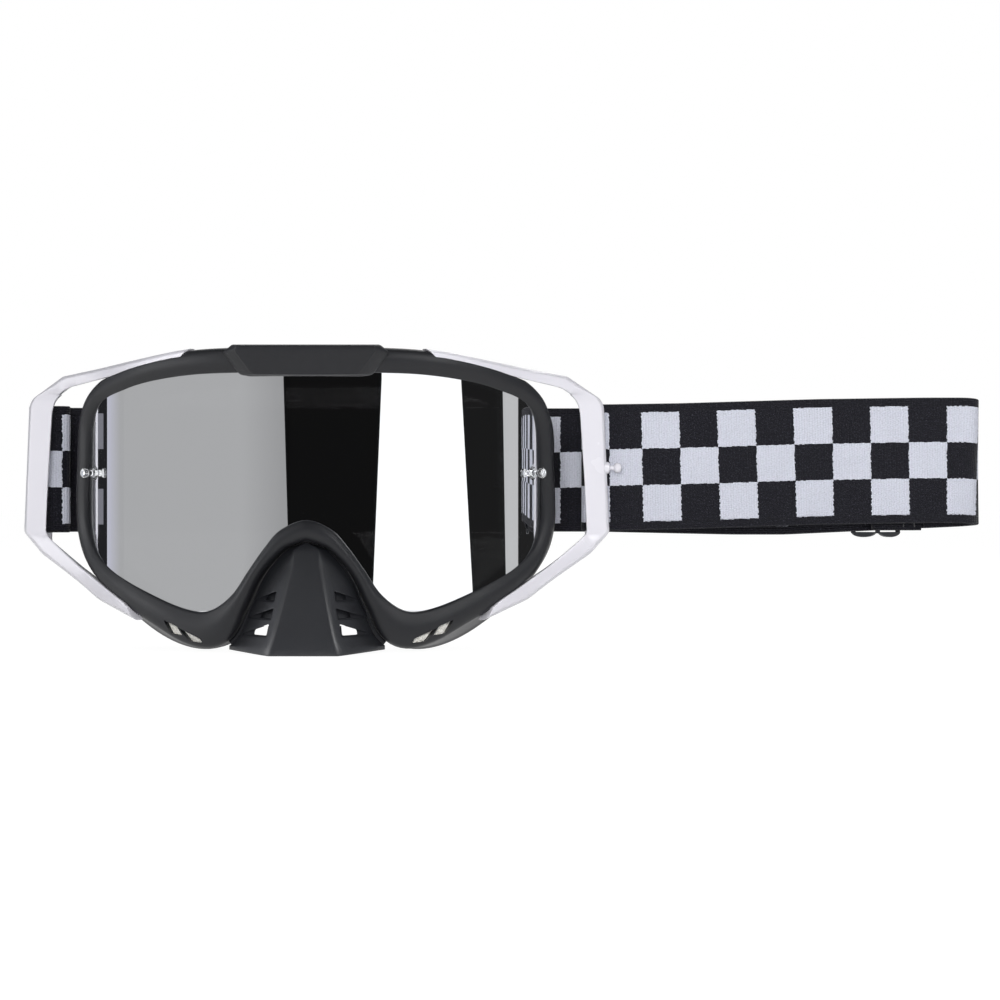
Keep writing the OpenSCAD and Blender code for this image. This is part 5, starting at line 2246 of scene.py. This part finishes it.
@dataclass
class Strap:
    """The folded strap: main band, tails, slacks, sewn ends, beads and stitches."""

    pitch: float = 13.78
    figure_x: float = 225.9
    wrap_mark_x: float = -91.8
    first_column: tuple[float, float] = (103.9, 115.66)
    last_mark_x: float = 236.7
    back_shift: float = 2.0
    back_marks: tuple[float, float, float] = (190.0, 120.0, 62.0)
    hidden_x: float = 60.0
    wrap_points: int = 60
    stitch_l: float = 2.3
    stitch_d: float = 0.42
    bead_w: float = 2.4
    bead_h: float = 0.6
    bead_rise: float = 14.0
    bead_points: int = 40
    step: float = 0.5
    edge: float = 0.55

    def line(self, route: Sequence[Point], reach: int = 3) -> np.ndarray:
        """Even, eased points along a route."""
        return eased(eased(resample(route, self.step), reach), reach)

    @staticmethod
    def lengths(points: np.ndarray) -> np.ndarray:
        """Distance along the points from the first one."""
        steps = np.linalg.norm(np.diff(points[:, :2], axis=0), axis=1)
        return np.concatenate([[0], np.cumsum(steps)])

    def sweep(self, name: str, points: np.ndarray, run: np.ndarray | None, finish: Finish,
              body: Body | None, *nodes: str) -> Object:
        """Sweeps the band's section along points and dresses it.

        Args:
            name: Name of the piece.
            points: Points in millimetres.
            run: Distance along the band at each point; none to measure it.
            finish: Finish of the webbing.
            body: The body that it rides on, or none.
            *nodes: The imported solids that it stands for.

        Returns:
            The band piece.
        """
        if run is None:
            run = self.lengths(points)
        obj = guide(name, points, [len(points)], [r * MM for r in run])
        BAND_SWEEP.run(obj, finish, Thickness=ROUTE.band_t, Width=ROUTE.band_w, Edge=self.edge)
        return finish.piece(obj, "webbing", body, *nodes)

    def main_run(self, points: np.ndarray) -> tuple[np.ndarray, float]:
        """Distance along the main band with the figure in step at both ends.

        Args:
            points: Points of the main band.

        Returns:
            The distance at each point, and where a column of the figure starts.
        """
        run = self.lengths(points)
        top = int(np.argmax(points[:, 0]))

        def on_front(x: float) -> float:
            """Distance along the band at x on the front run."""
            return float(np.interp(x, points[:top, 0], run[:top]))

        def on_back(x: float, shift: float) -> tuple[float, float]:
            """Distance along the band at x on the back run, as it is and shifted."""
            at = float(np.interp(-x, -points[top:, 0], run[top:]))
            return at, at + shift
        start = on_front(self.figure_x)
        first = [on_front(x) for x in self.first_column]
        early = self.pitch - (first[1] - first[0])
        last = on_front(self.last_mark_x)
        late = start + self.pitch - last
        marks = [(0.0, -early), (first[0], first[0] - early), (first[1], first[1]),
                 (start, start), (last, last + late),
                 *map(on_back, self.back_marks, (late, -self.back_shift, -self.back_shift)),
                 (run[-1], run[-1])]
        run = np.interp(run, *zip(*marks))
        wrap = points[-self.wrap_points:, 0]
        k = len(points) - self.wrap_points + int(np.argmax(wrap > self.wrap_mark_x))
        columns = (run[k] - start) / self.pitch
        want = 2 * round(columns / 2)
        hidden = (np.abs(points[:, 0]) < self.hidden_x) & (np.arange(len(points)) > top)
        span = run[hidden][-1] - run[hidden][0]
        part = np.clip((run - run[hidden][0]) / span, 0, 1)
        part[:top] = 0
        shift = (want - columns) * self.pitch
        log.info("band figure: %.2f columns, shifted by %.2f mm", columns, shift)
        return run + part * shift, start

    def sewn_end(self, side: Side, body: Body) -> None:
        """The end that is folded round a slider's middle bar and sewn to itself.

        Args:
            side: Side of the goggles.
            body: The body that it moves with.
        """
        r = ROUTE
        d = 1 if side is Side.RIGHT else -1
        t = r.band_t
        mid = -(t / 2 + 0.3 + t + 0.2 + r.slider_bar_d / 2)
        hug = r.slider_bar_d / 2 + 0.15 + t / 2
        tail = -r.lay
        path = [(d * r.end_l, tail), (d * 8, tail), (d * 3, mid + hug - 0.1)]
        path += [(-d * hug * math.sin(math.radians(a - 90)), mid + hug * math.sin(math.radians(a)))
                 for a in range(90, 271, 9)]
        path += [(d * 3, mid - hug + 0.2), (d * 9, tail - t - 0.08),
                 (d * (r.end_l - 2), tail - t - 0.08)]
        at = r.slider_at(side)
        points = resample([(at[0] + x, at[1] + y, at[2]) for x, y in path], 0.3)
        points = eased(eased(points, 3), 2)
        self.sweep(f"sewn_end_{side.word}", points, None,
                   WovenBand("plain webbing end", figure=0.0), body, f"strap_end_{side.word}")
        y = at[1] + tail - 1.5 * t - 0.08 - 0.03
        x0, x1 = at[0] + d * 9.4, at[0] + d * (r.end_l - 2.8)
        z0, z1 = at[2] - r.band_w / 2 + 2.2, at[2] + r.band_w / 2 - 2.2
        zs = np.linspace(z0, z1, 5)
        chains = [[(x0, y, z0), (x0, y, z1)], [(x1, y, z0), (x1, y, z1)]]
        chains += [[(x0, y, a), (x1, y, b)] for a, b in zip(zs[:-1], zs[1:])]
        chains += [[(x1, y, a), (x0, y, b)] for a, b in zip(zs[:-1], zs[1:])]
        obj = guide(f"end_stitching_{side.word}", [p for c in chains for p in c],
                    [len(c) for c in chains])
        rows = STITCH_ROW.run(obj, THREAD, Pitch=self.stitch_l, Thread=self.stitch_d)
        THREAD.piece(rows, "webbing", body)

    def build(self) -> None:
        """Builds and dresses the strap."""
        r = ROUTE
        points = self.line(r.main())
        run, start = self.main_run(points)
        figured = WovenBand("checked webbing", start=start * MM)
        plain = WovenBand("plain webbing", figure=0.0)
        self.sweep("checked_band", points, run, figured, Body.GOGGLES, "strap_webbing")
        for side in Side:
            self.sweep(f"doubled_tail_{side.word}", self.line(r.tail(side)), None, plain,
                       Body.GOGGLES, f"strap_tail_{side.word}")
            points = self.line(r.slack(side), 1)
            slack = self.sweep(f"growing_tail_{side.word}", points, None, plain, None,
                               f"strap_slack_{side.word}")
            fixed, moving = points[[-1, 0] if side is Side.RIGHT else [0, -1]]
            tuple(fixed * MM)
            tuple(moving * MM)
            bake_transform(slack)
            self.sewn_end(side, side.slider)
        a, b = np.array(r.slant_from), np.array(r.slant_to)
        lines = [a + (b - a) * t
                 + np.array([0, -(r.band_t + self.bead_h) / 2 - 0.05, i * self.bead_rise])
                 for i in (-1, 0, 1) for t in np.linspace(0.1, 0.9, self.bead_points)]
        beads = BEAD_SWEEP.run(guide("grip_lines", lines, [self.bead_points] * 3), SILICONE,
                               Width=self.bead_w, Height=self.bead_h)
        SILICONE.piece(beads, "silicone", Body.GOGGLES, "grip_beads")


@dataclass
class Slider:
    """A strap slider: three bars between two lobed plates."""

    side: Side
    lobe_w: float = 9.2
    plate_gap: float = 0.6
    plate_t: float = 1.7

    def build(self) -> Object:
        """Builds and dresses the slider.

        Returns:
            The finished piece.
        """
        r = ROUTE
        at, t, half = r.slider_at(self.side), r.band_t, r.band_w / 2
        reach, rad = half + self.plate_gap + 0.5, r.slider_bar_d / 2
        side_x, side_y = self.lobe_w - rad - 0.2, t / 2 + 0.3 + rad
        mid_y = -(t / 2 + 0.3 + t + 0.2 + rad)
        profile = [(0, -reach), (rad - 0.2, -reach), (rad, -reach + 0.2), (rad, reach - 0.2),
                   (rad - 0.2, reach), (0, reach)]
        parts = []
        for x, y in ((-side_x, side_y), (0, mid_y), (side_x, side_y)):
            parts.append(lathe(profile, lambda p, x=x, y=y: (at[0] + x + p[0], at[1] + y + p[1],
                                                            at[2] + p[2]), "bar", 24))
        for e in (-1, 1):
            for k in (-1, 1):
                parts.append(self.lobe(at, k, e, side_x, side_y, mid_y, half))
        return SLIDER_GREY.piece(joined(f"strap_slider_{self.side.word}", parts), "slider_grey",
                                 self.side.slider, f"slider_{self.side.word}")

    def lobe(self, at: np.ndarray, k: int, e: int, side_x: float, side_y: float, mid_y: float,
             half: float) -> Object:
        """One lobe of a plate.

        Args:
            at: Place of the slider.
            k: -1 or 1 along the band.
            e: -1 for the lower plate, 1 for the upper one.
            side_x: Distance of a side bar from the middle.
            side_y: Depth of the side bars.
            mid_y: Depth of the middle bar.
            half: Half the width of the band.

        Returns:
            The lobe.
        """
        base, top = half + self.plate_gap, half + self.plate_gap + self.plate_t
        cx, cz, rr = k * self.lobe_w / 2, top - self.lobe_w / 2, self.lobe_w / 2 + 0.2
        run = np.array([side_x, side_y - mid_y])
        run = run / np.linalg.norm(run) * np.array([k, 1])
        across = np.array([-run[1], run[0]])
        rows = []
        for s, inset in ((-1.3, 0.45), (-1.15, 0.15), (-0.8, 0.0), (0.8, 0.0), (1.15, 0.15),
                         (1.3, 0.45)):
            ring = []
            wide = math.sqrt(max(rr ** 2 - (base - cz) ** 2, 0.01)) - inset
            for n in range(19):
                a = math.pi * n / 18
                x = cx + wide * math.cos(a)
                z = base + (cz + rr - inset - base) * math.sin(a) ** 0.9
                y = mid_y + (side_y - mid_y) * min(1.0, max(0.0, abs(x) / side_x))
                p = np.array([x, y]) + across * s
                ring.append((at[0] + p[0], at[1] + p[1], at[2] + e * z))
            rows.append(ring)
        return lofted(rows, "lobe", 35)


# The stage.


@dataclass
class Studio:
    """Floor, light, reflection wall and camera.

    Attributes:
        wall_r: Radius of the ring of cards, in millimetres.
        wall_h: Height of the ring.
        rise: Heights between which a card's edge leans, in metres.
        first: Level of the first card, left of -109°: the strap's dark in the painted reflection at
            the lens's left edge.
        cards: (angle at the top, angle at the foot, level) of each next card, the
            angles in degrees to the right of the view.
        patches: Lowest and highest point of each pale strip, a painted reflection of the strap's
            white checks.
        patch_end: Angle at which the pale strips end.
        patch_level: What the pale strips add.
        fade: First angle, last angle and last share of the cards' fading to the right.
        fade_end: Angle past which they don't fade.
        near: First angle, last angle and strength of the painted glow at the left edge.
        cool: First angle, last angle and strength of its painted bluer tint.
        floor_tones: Darkest and lightest grey of the floor.
        floor_glow: Strength of the floor's own light.
        floor_share: Share of it that the eye and mirrors see.
        air_matte: Level of the surroundings for matte surfaces.
        air_gloss: Tint of the surroundings in glossy surfaces.
        focal: Focal length of the camera.
        eye: Place of the camera, in metres.
        lamps: Name, place, aim, side and watts of each lamp, and what it lights.
    """

    wall_r: float = 320.0
    wall_h: float = 170.0
    rise: tuple[float, float] = (0.0106, 0.107)
    first: float = 0.02
    cards: Rows = (
        (-109.4, -109.4, 0.5), (-94.1, -94.1, 0.52), (-15.0, -12.2, 0.007), (30.3, 26.3, 1.45),
        (66.8, 72.2, 0.014), (90.6, 93.4, 0.66), (103.5, 103.5, 0.02), (140.0, 140.0, 0.5))
    patches: Rows = ((0.0409, 0.0565), (0.0739, 0.0895))
    patch_end: float = -113.2
    patch_level: float = 0.22
    fade: tuple[float, float, float] = (-34.0, -15.0, 0.8)
    fade_end: float = -12.0
    near: tuple[float, float, float] = (-109.4, -97.0, 0.17)
    cool: tuple[float, float, float] = (-107.0, -97.0, 1.14)
    floor_tones: tuple[float, float] = (0.86, 0.9)
    floor_glow: float = 1.12
    floor_share: float = 0.86
    air_matte: float = 0.28
    air_gloss: tuple[float, float, float] = (0.94, 0.97, 1.05)
    focal: float = 92.73
    eye: tuple[float, float, float] = (0.065, -0.8511, 0.0516)
    lamps: tuple[tuple[str, Point, Point, float, float, str], ...] = (
        ("key", (-0.75, -0.9, 1.15), (0.05, 0.03, 0.05), 0.8, 2.2, "all"),
        ("fill", (1.0, -0.7, 0.9), (0.06, 0.03, 0.05), 0.8, 1.6, "all"),
        ("front", (0.0, -1.15, 0.17), (0.06, 0.03, 0.05), 0.3, 8.6, "matte"),
        ("right wash", (0.6, -0.55, 0.3), (0.12, 0.03, 0.05), 0.3, 1.05, "matte"),
        ("left sheen", (-0.95, -0.4, 0.22), (0.0, 0.02, 0.03), 0.6, 3.4, "gloss"),
        ("right sheen", (0.8, -0.62, 0.62), (0.0, 0.02, 0.03), 0.4, 2.5, "gloss"),
        ("back", (0.1, 1.0, 1.0), (0.06, 0.05, 0.06), 0.9, 5.0, "all"))

    @staticmethod
    def staged(obj: Object, name: str, paint: Callable[[Graph], Wire]) -> Object:
        """Dresses a piece of the stage.

        Args:
            obj: The piece.
            name: Name of its material.
            paint: Builds the material's nodes and returns its surface.

        Returns:
            The piece.
        """
        made = bpy.data.materials.new(name)
        g = blank(made)
        g.node("ShaderNodeOutputMaterial", i0=paint(g))
        obj.data.materials.append(made)
        obj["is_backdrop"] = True
        return obj

    def floor(self) -> None:
        """The pale floor, white to the camera save for the object's shadow."""
        def paint(g: Graph) -> Wire:
            """Matte and uneven, with a glow that only the eye and mirrors see.

            Args:
                g: The material's graph.

            Returns:
                The surface.
            """
            path = g.node("ShaderNodeLightPath").outputs
            camera, glossy, through = (Wire(g, path[f"Is {kind} Ray"])
                                       for kind in ("Camera", "Glossy", "Transmission"))
            seen = camera.sum("MAXIMUM", glossy.sum("MAXIMUM", through))
            tone = g.blend(g.noise(g.place(), 3.0), *map(grey, self.floor_tones))
            return g.out("ShaderNodeMixShader", i0=seen * self.floor_share,
                         i1=g.out("ShaderNodeBsdfDiffuse", i0=tone),
                         i2=g.out("ShaderNodeEmission", i0=grey(1.0), Strength=self.floor_glow))
        grid = [[(x, y, 0.0) for y in np.linspace(-6000, 9000, 12)]
                for x in np.linspace(-7000, 7000, 12)]
        self.staged(lofted(grid, "floor", closed=False, flip=True), "pale floor", paint)

    def card_level(self, g: Graph, angle: Wire, height: Wire) -> Wire:
        """Level of the cards' light.

        Args:
            g: The cards' graph.
            angle: Angle to the right of the view, in radians.
            height: Height in metres.

        Returns:
            The level.
        """
        deg = math.radians
        rise = height.to(*self.rise)
        level: object = self.first
        last = self.first
        for high, low, value in self.cards:
            past = angle > rise * deg(high - low) + deg(low)
            level = past * (value - last) + level
            last = value
        fade = angle.to(deg(self.fade[0]), deg(self.fade[1]), 1.0, self.fade[2])
        level = level * fade.sum("MAXIMUM", angle > deg(self.fade_end))
        # Left of the grey card, the dark first card, the pale strips and the bluer glow paint the
        # strap's and outrigger's reflection at the lens's left edge.
        for low, high in self.patches:
            patch = (height > low) * (height < high)
            level = level + patch * (angle < deg(self.patch_end)) * self.patch_level
        start, end, strength = deg(self.near[0]), deg(self.near[1]), self.near[2]
        return level + (angle > start) * angle.to(start, end, strength, 0.0)

    def wall(self) -> None:
        """A ring of light and dark cards that only sharp mirrors see."""
        def paint(g: Graph) -> Wire:
            """The cards, with a painted bluer reflection at the left edge of the view.

            Args:
                g: The material's graph.

            Returns:
                The surface.
            """
            x, y, z = g.split(g.place())
            angle = x.sum("ARCTAN2", y * -1.0)
            level = self.card_level(g, angle, z)
            start, end, strength = self.cool
            cool = angle.to(math.radians(start), math.radians(end), strength, 1.0)
            return g.out("ShaderNodeMixShader",
                         i0=g.out("ShaderNodeLightPath", "Is Singular Ray"),
                         i1=g.out("ShaderNodeBsdfTransparent"),
                         i2=g.out("ShaderNodeEmission", i0=g.vector(level, level, level * cool)))
        rows = [[(self.wall_r * math.sin(a), -self.wall_r * math.cos(a), z)
                 for z in (1.0, self.wall_h)]
                for a in (math.radians(-180 + 2 * k) for k in range(181))]
        obj = self.staged(lofted(rows, "card_ring", closed=False), "reflection cards", paint)
        for ray in ("camera", "diffuse", "shadow", "transmission"):
            setattr(obj, f"visible_{ray}", False)

    def world(self) -> None:
        """White surroundings for the eye and for mirrors, dimmer for matte light."""
        world = bpy.data.worlds.new("studio air")
        bpy.context.scene.world = world
        g = blank(world)
        path = g.node("ShaderNodeLightPath").outputs
        camera, glossy, through = (Wire(g, path[f"Is {kind} Ray"])
                                   for kind in ("Camera", "Glossy", "Transmission"))
        x, y, z = g.split(g.place())
        above, behind = z.to(0.3, 0.85, 1.0, 0.1), y.to(0.1, 0.6, 1.0, 0.3)
        right, ahead = x.to(0.5, 0.95, 1.0, 0.5), y.to(-0.95, -0.3, 0.34, 0.95)
        gloss = (above * behind) * (right * ahead)
        tinted = g.vector(*(gloss * tint for tint in self.air_gloss))
        level = g.blend(glossy, grey(self.air_matte), tinted)
        level = g.blend(camera.sum("MAXIMUM", through), level, grey(1.0))
        g.node("ShaderNodeOutputWorld", i0=g.out("ShaderNodeBackground", i0=level))

    def light(self) -> None:
        """Adds the square area lamps."""
        for name, place, aim, size, watts, lit in self.lamps:
            data = bpy.data.lights.new(name, "AREA")
            data.size, data.energy = size, watts
            obj = linked(name, data)
            obj.location = place
            turn = (Vector(aim) - Vector(place)).to_track_quat("-Z", "Y")
            obj.rotation_euler = turn.to_euler()
            obj.visible_glossy = lit != "matte"
            obj.visible_diffuse = lit != "gloss"

    def camera(self) -> None:
        """The camera at the photograph's place."""
        data = bpy.data.cameras.new("front")
        data.lens, data.sensor_width, data.clip_start = self.focal, 36.0, 0.01
        obj = linked("front", data)
        obj.location = self.eye
        obj.rotation_euler = (math.radians(90), 0, 0)
        bpy.context.scene.camera = obj

    def build(self) -> None:
        """Sets up the studio."""
        self.camera()
        self.floor()
        self.wall()
        self.world()
        self.light()
        bpy.context.scene.view_settings.view_transform = "Standard"


def main() -> None:
    """Builds the studio and every sub-assembly in order."""
    logging.basicConfig(level=logging.INFO, format="%(name)s: %(message)s")
    Studio().build()
    house, guard = GoggleFrame(), NoseGuard()
    house.build(guard)
    LensSheet().build()
    for side in Side:
        Outrigger(side).build()
    guard.build()
    FaceFoam().build()
    VentFilters().build(house)
    Strap().build()
    for side in Side:
        Slider(side).build()
    bpy.context.view_layer.update()
    boxes = {"cad": [list(c) for c in CAD_BOX], "visual": [list(c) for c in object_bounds()]}
    log.info("boxes in mm: %s", {k: [[round(v * 1000, 1) for v in c] for c in b]
                                 for k, b in boxes.items()})


if __name__ == "__main__":
    main()
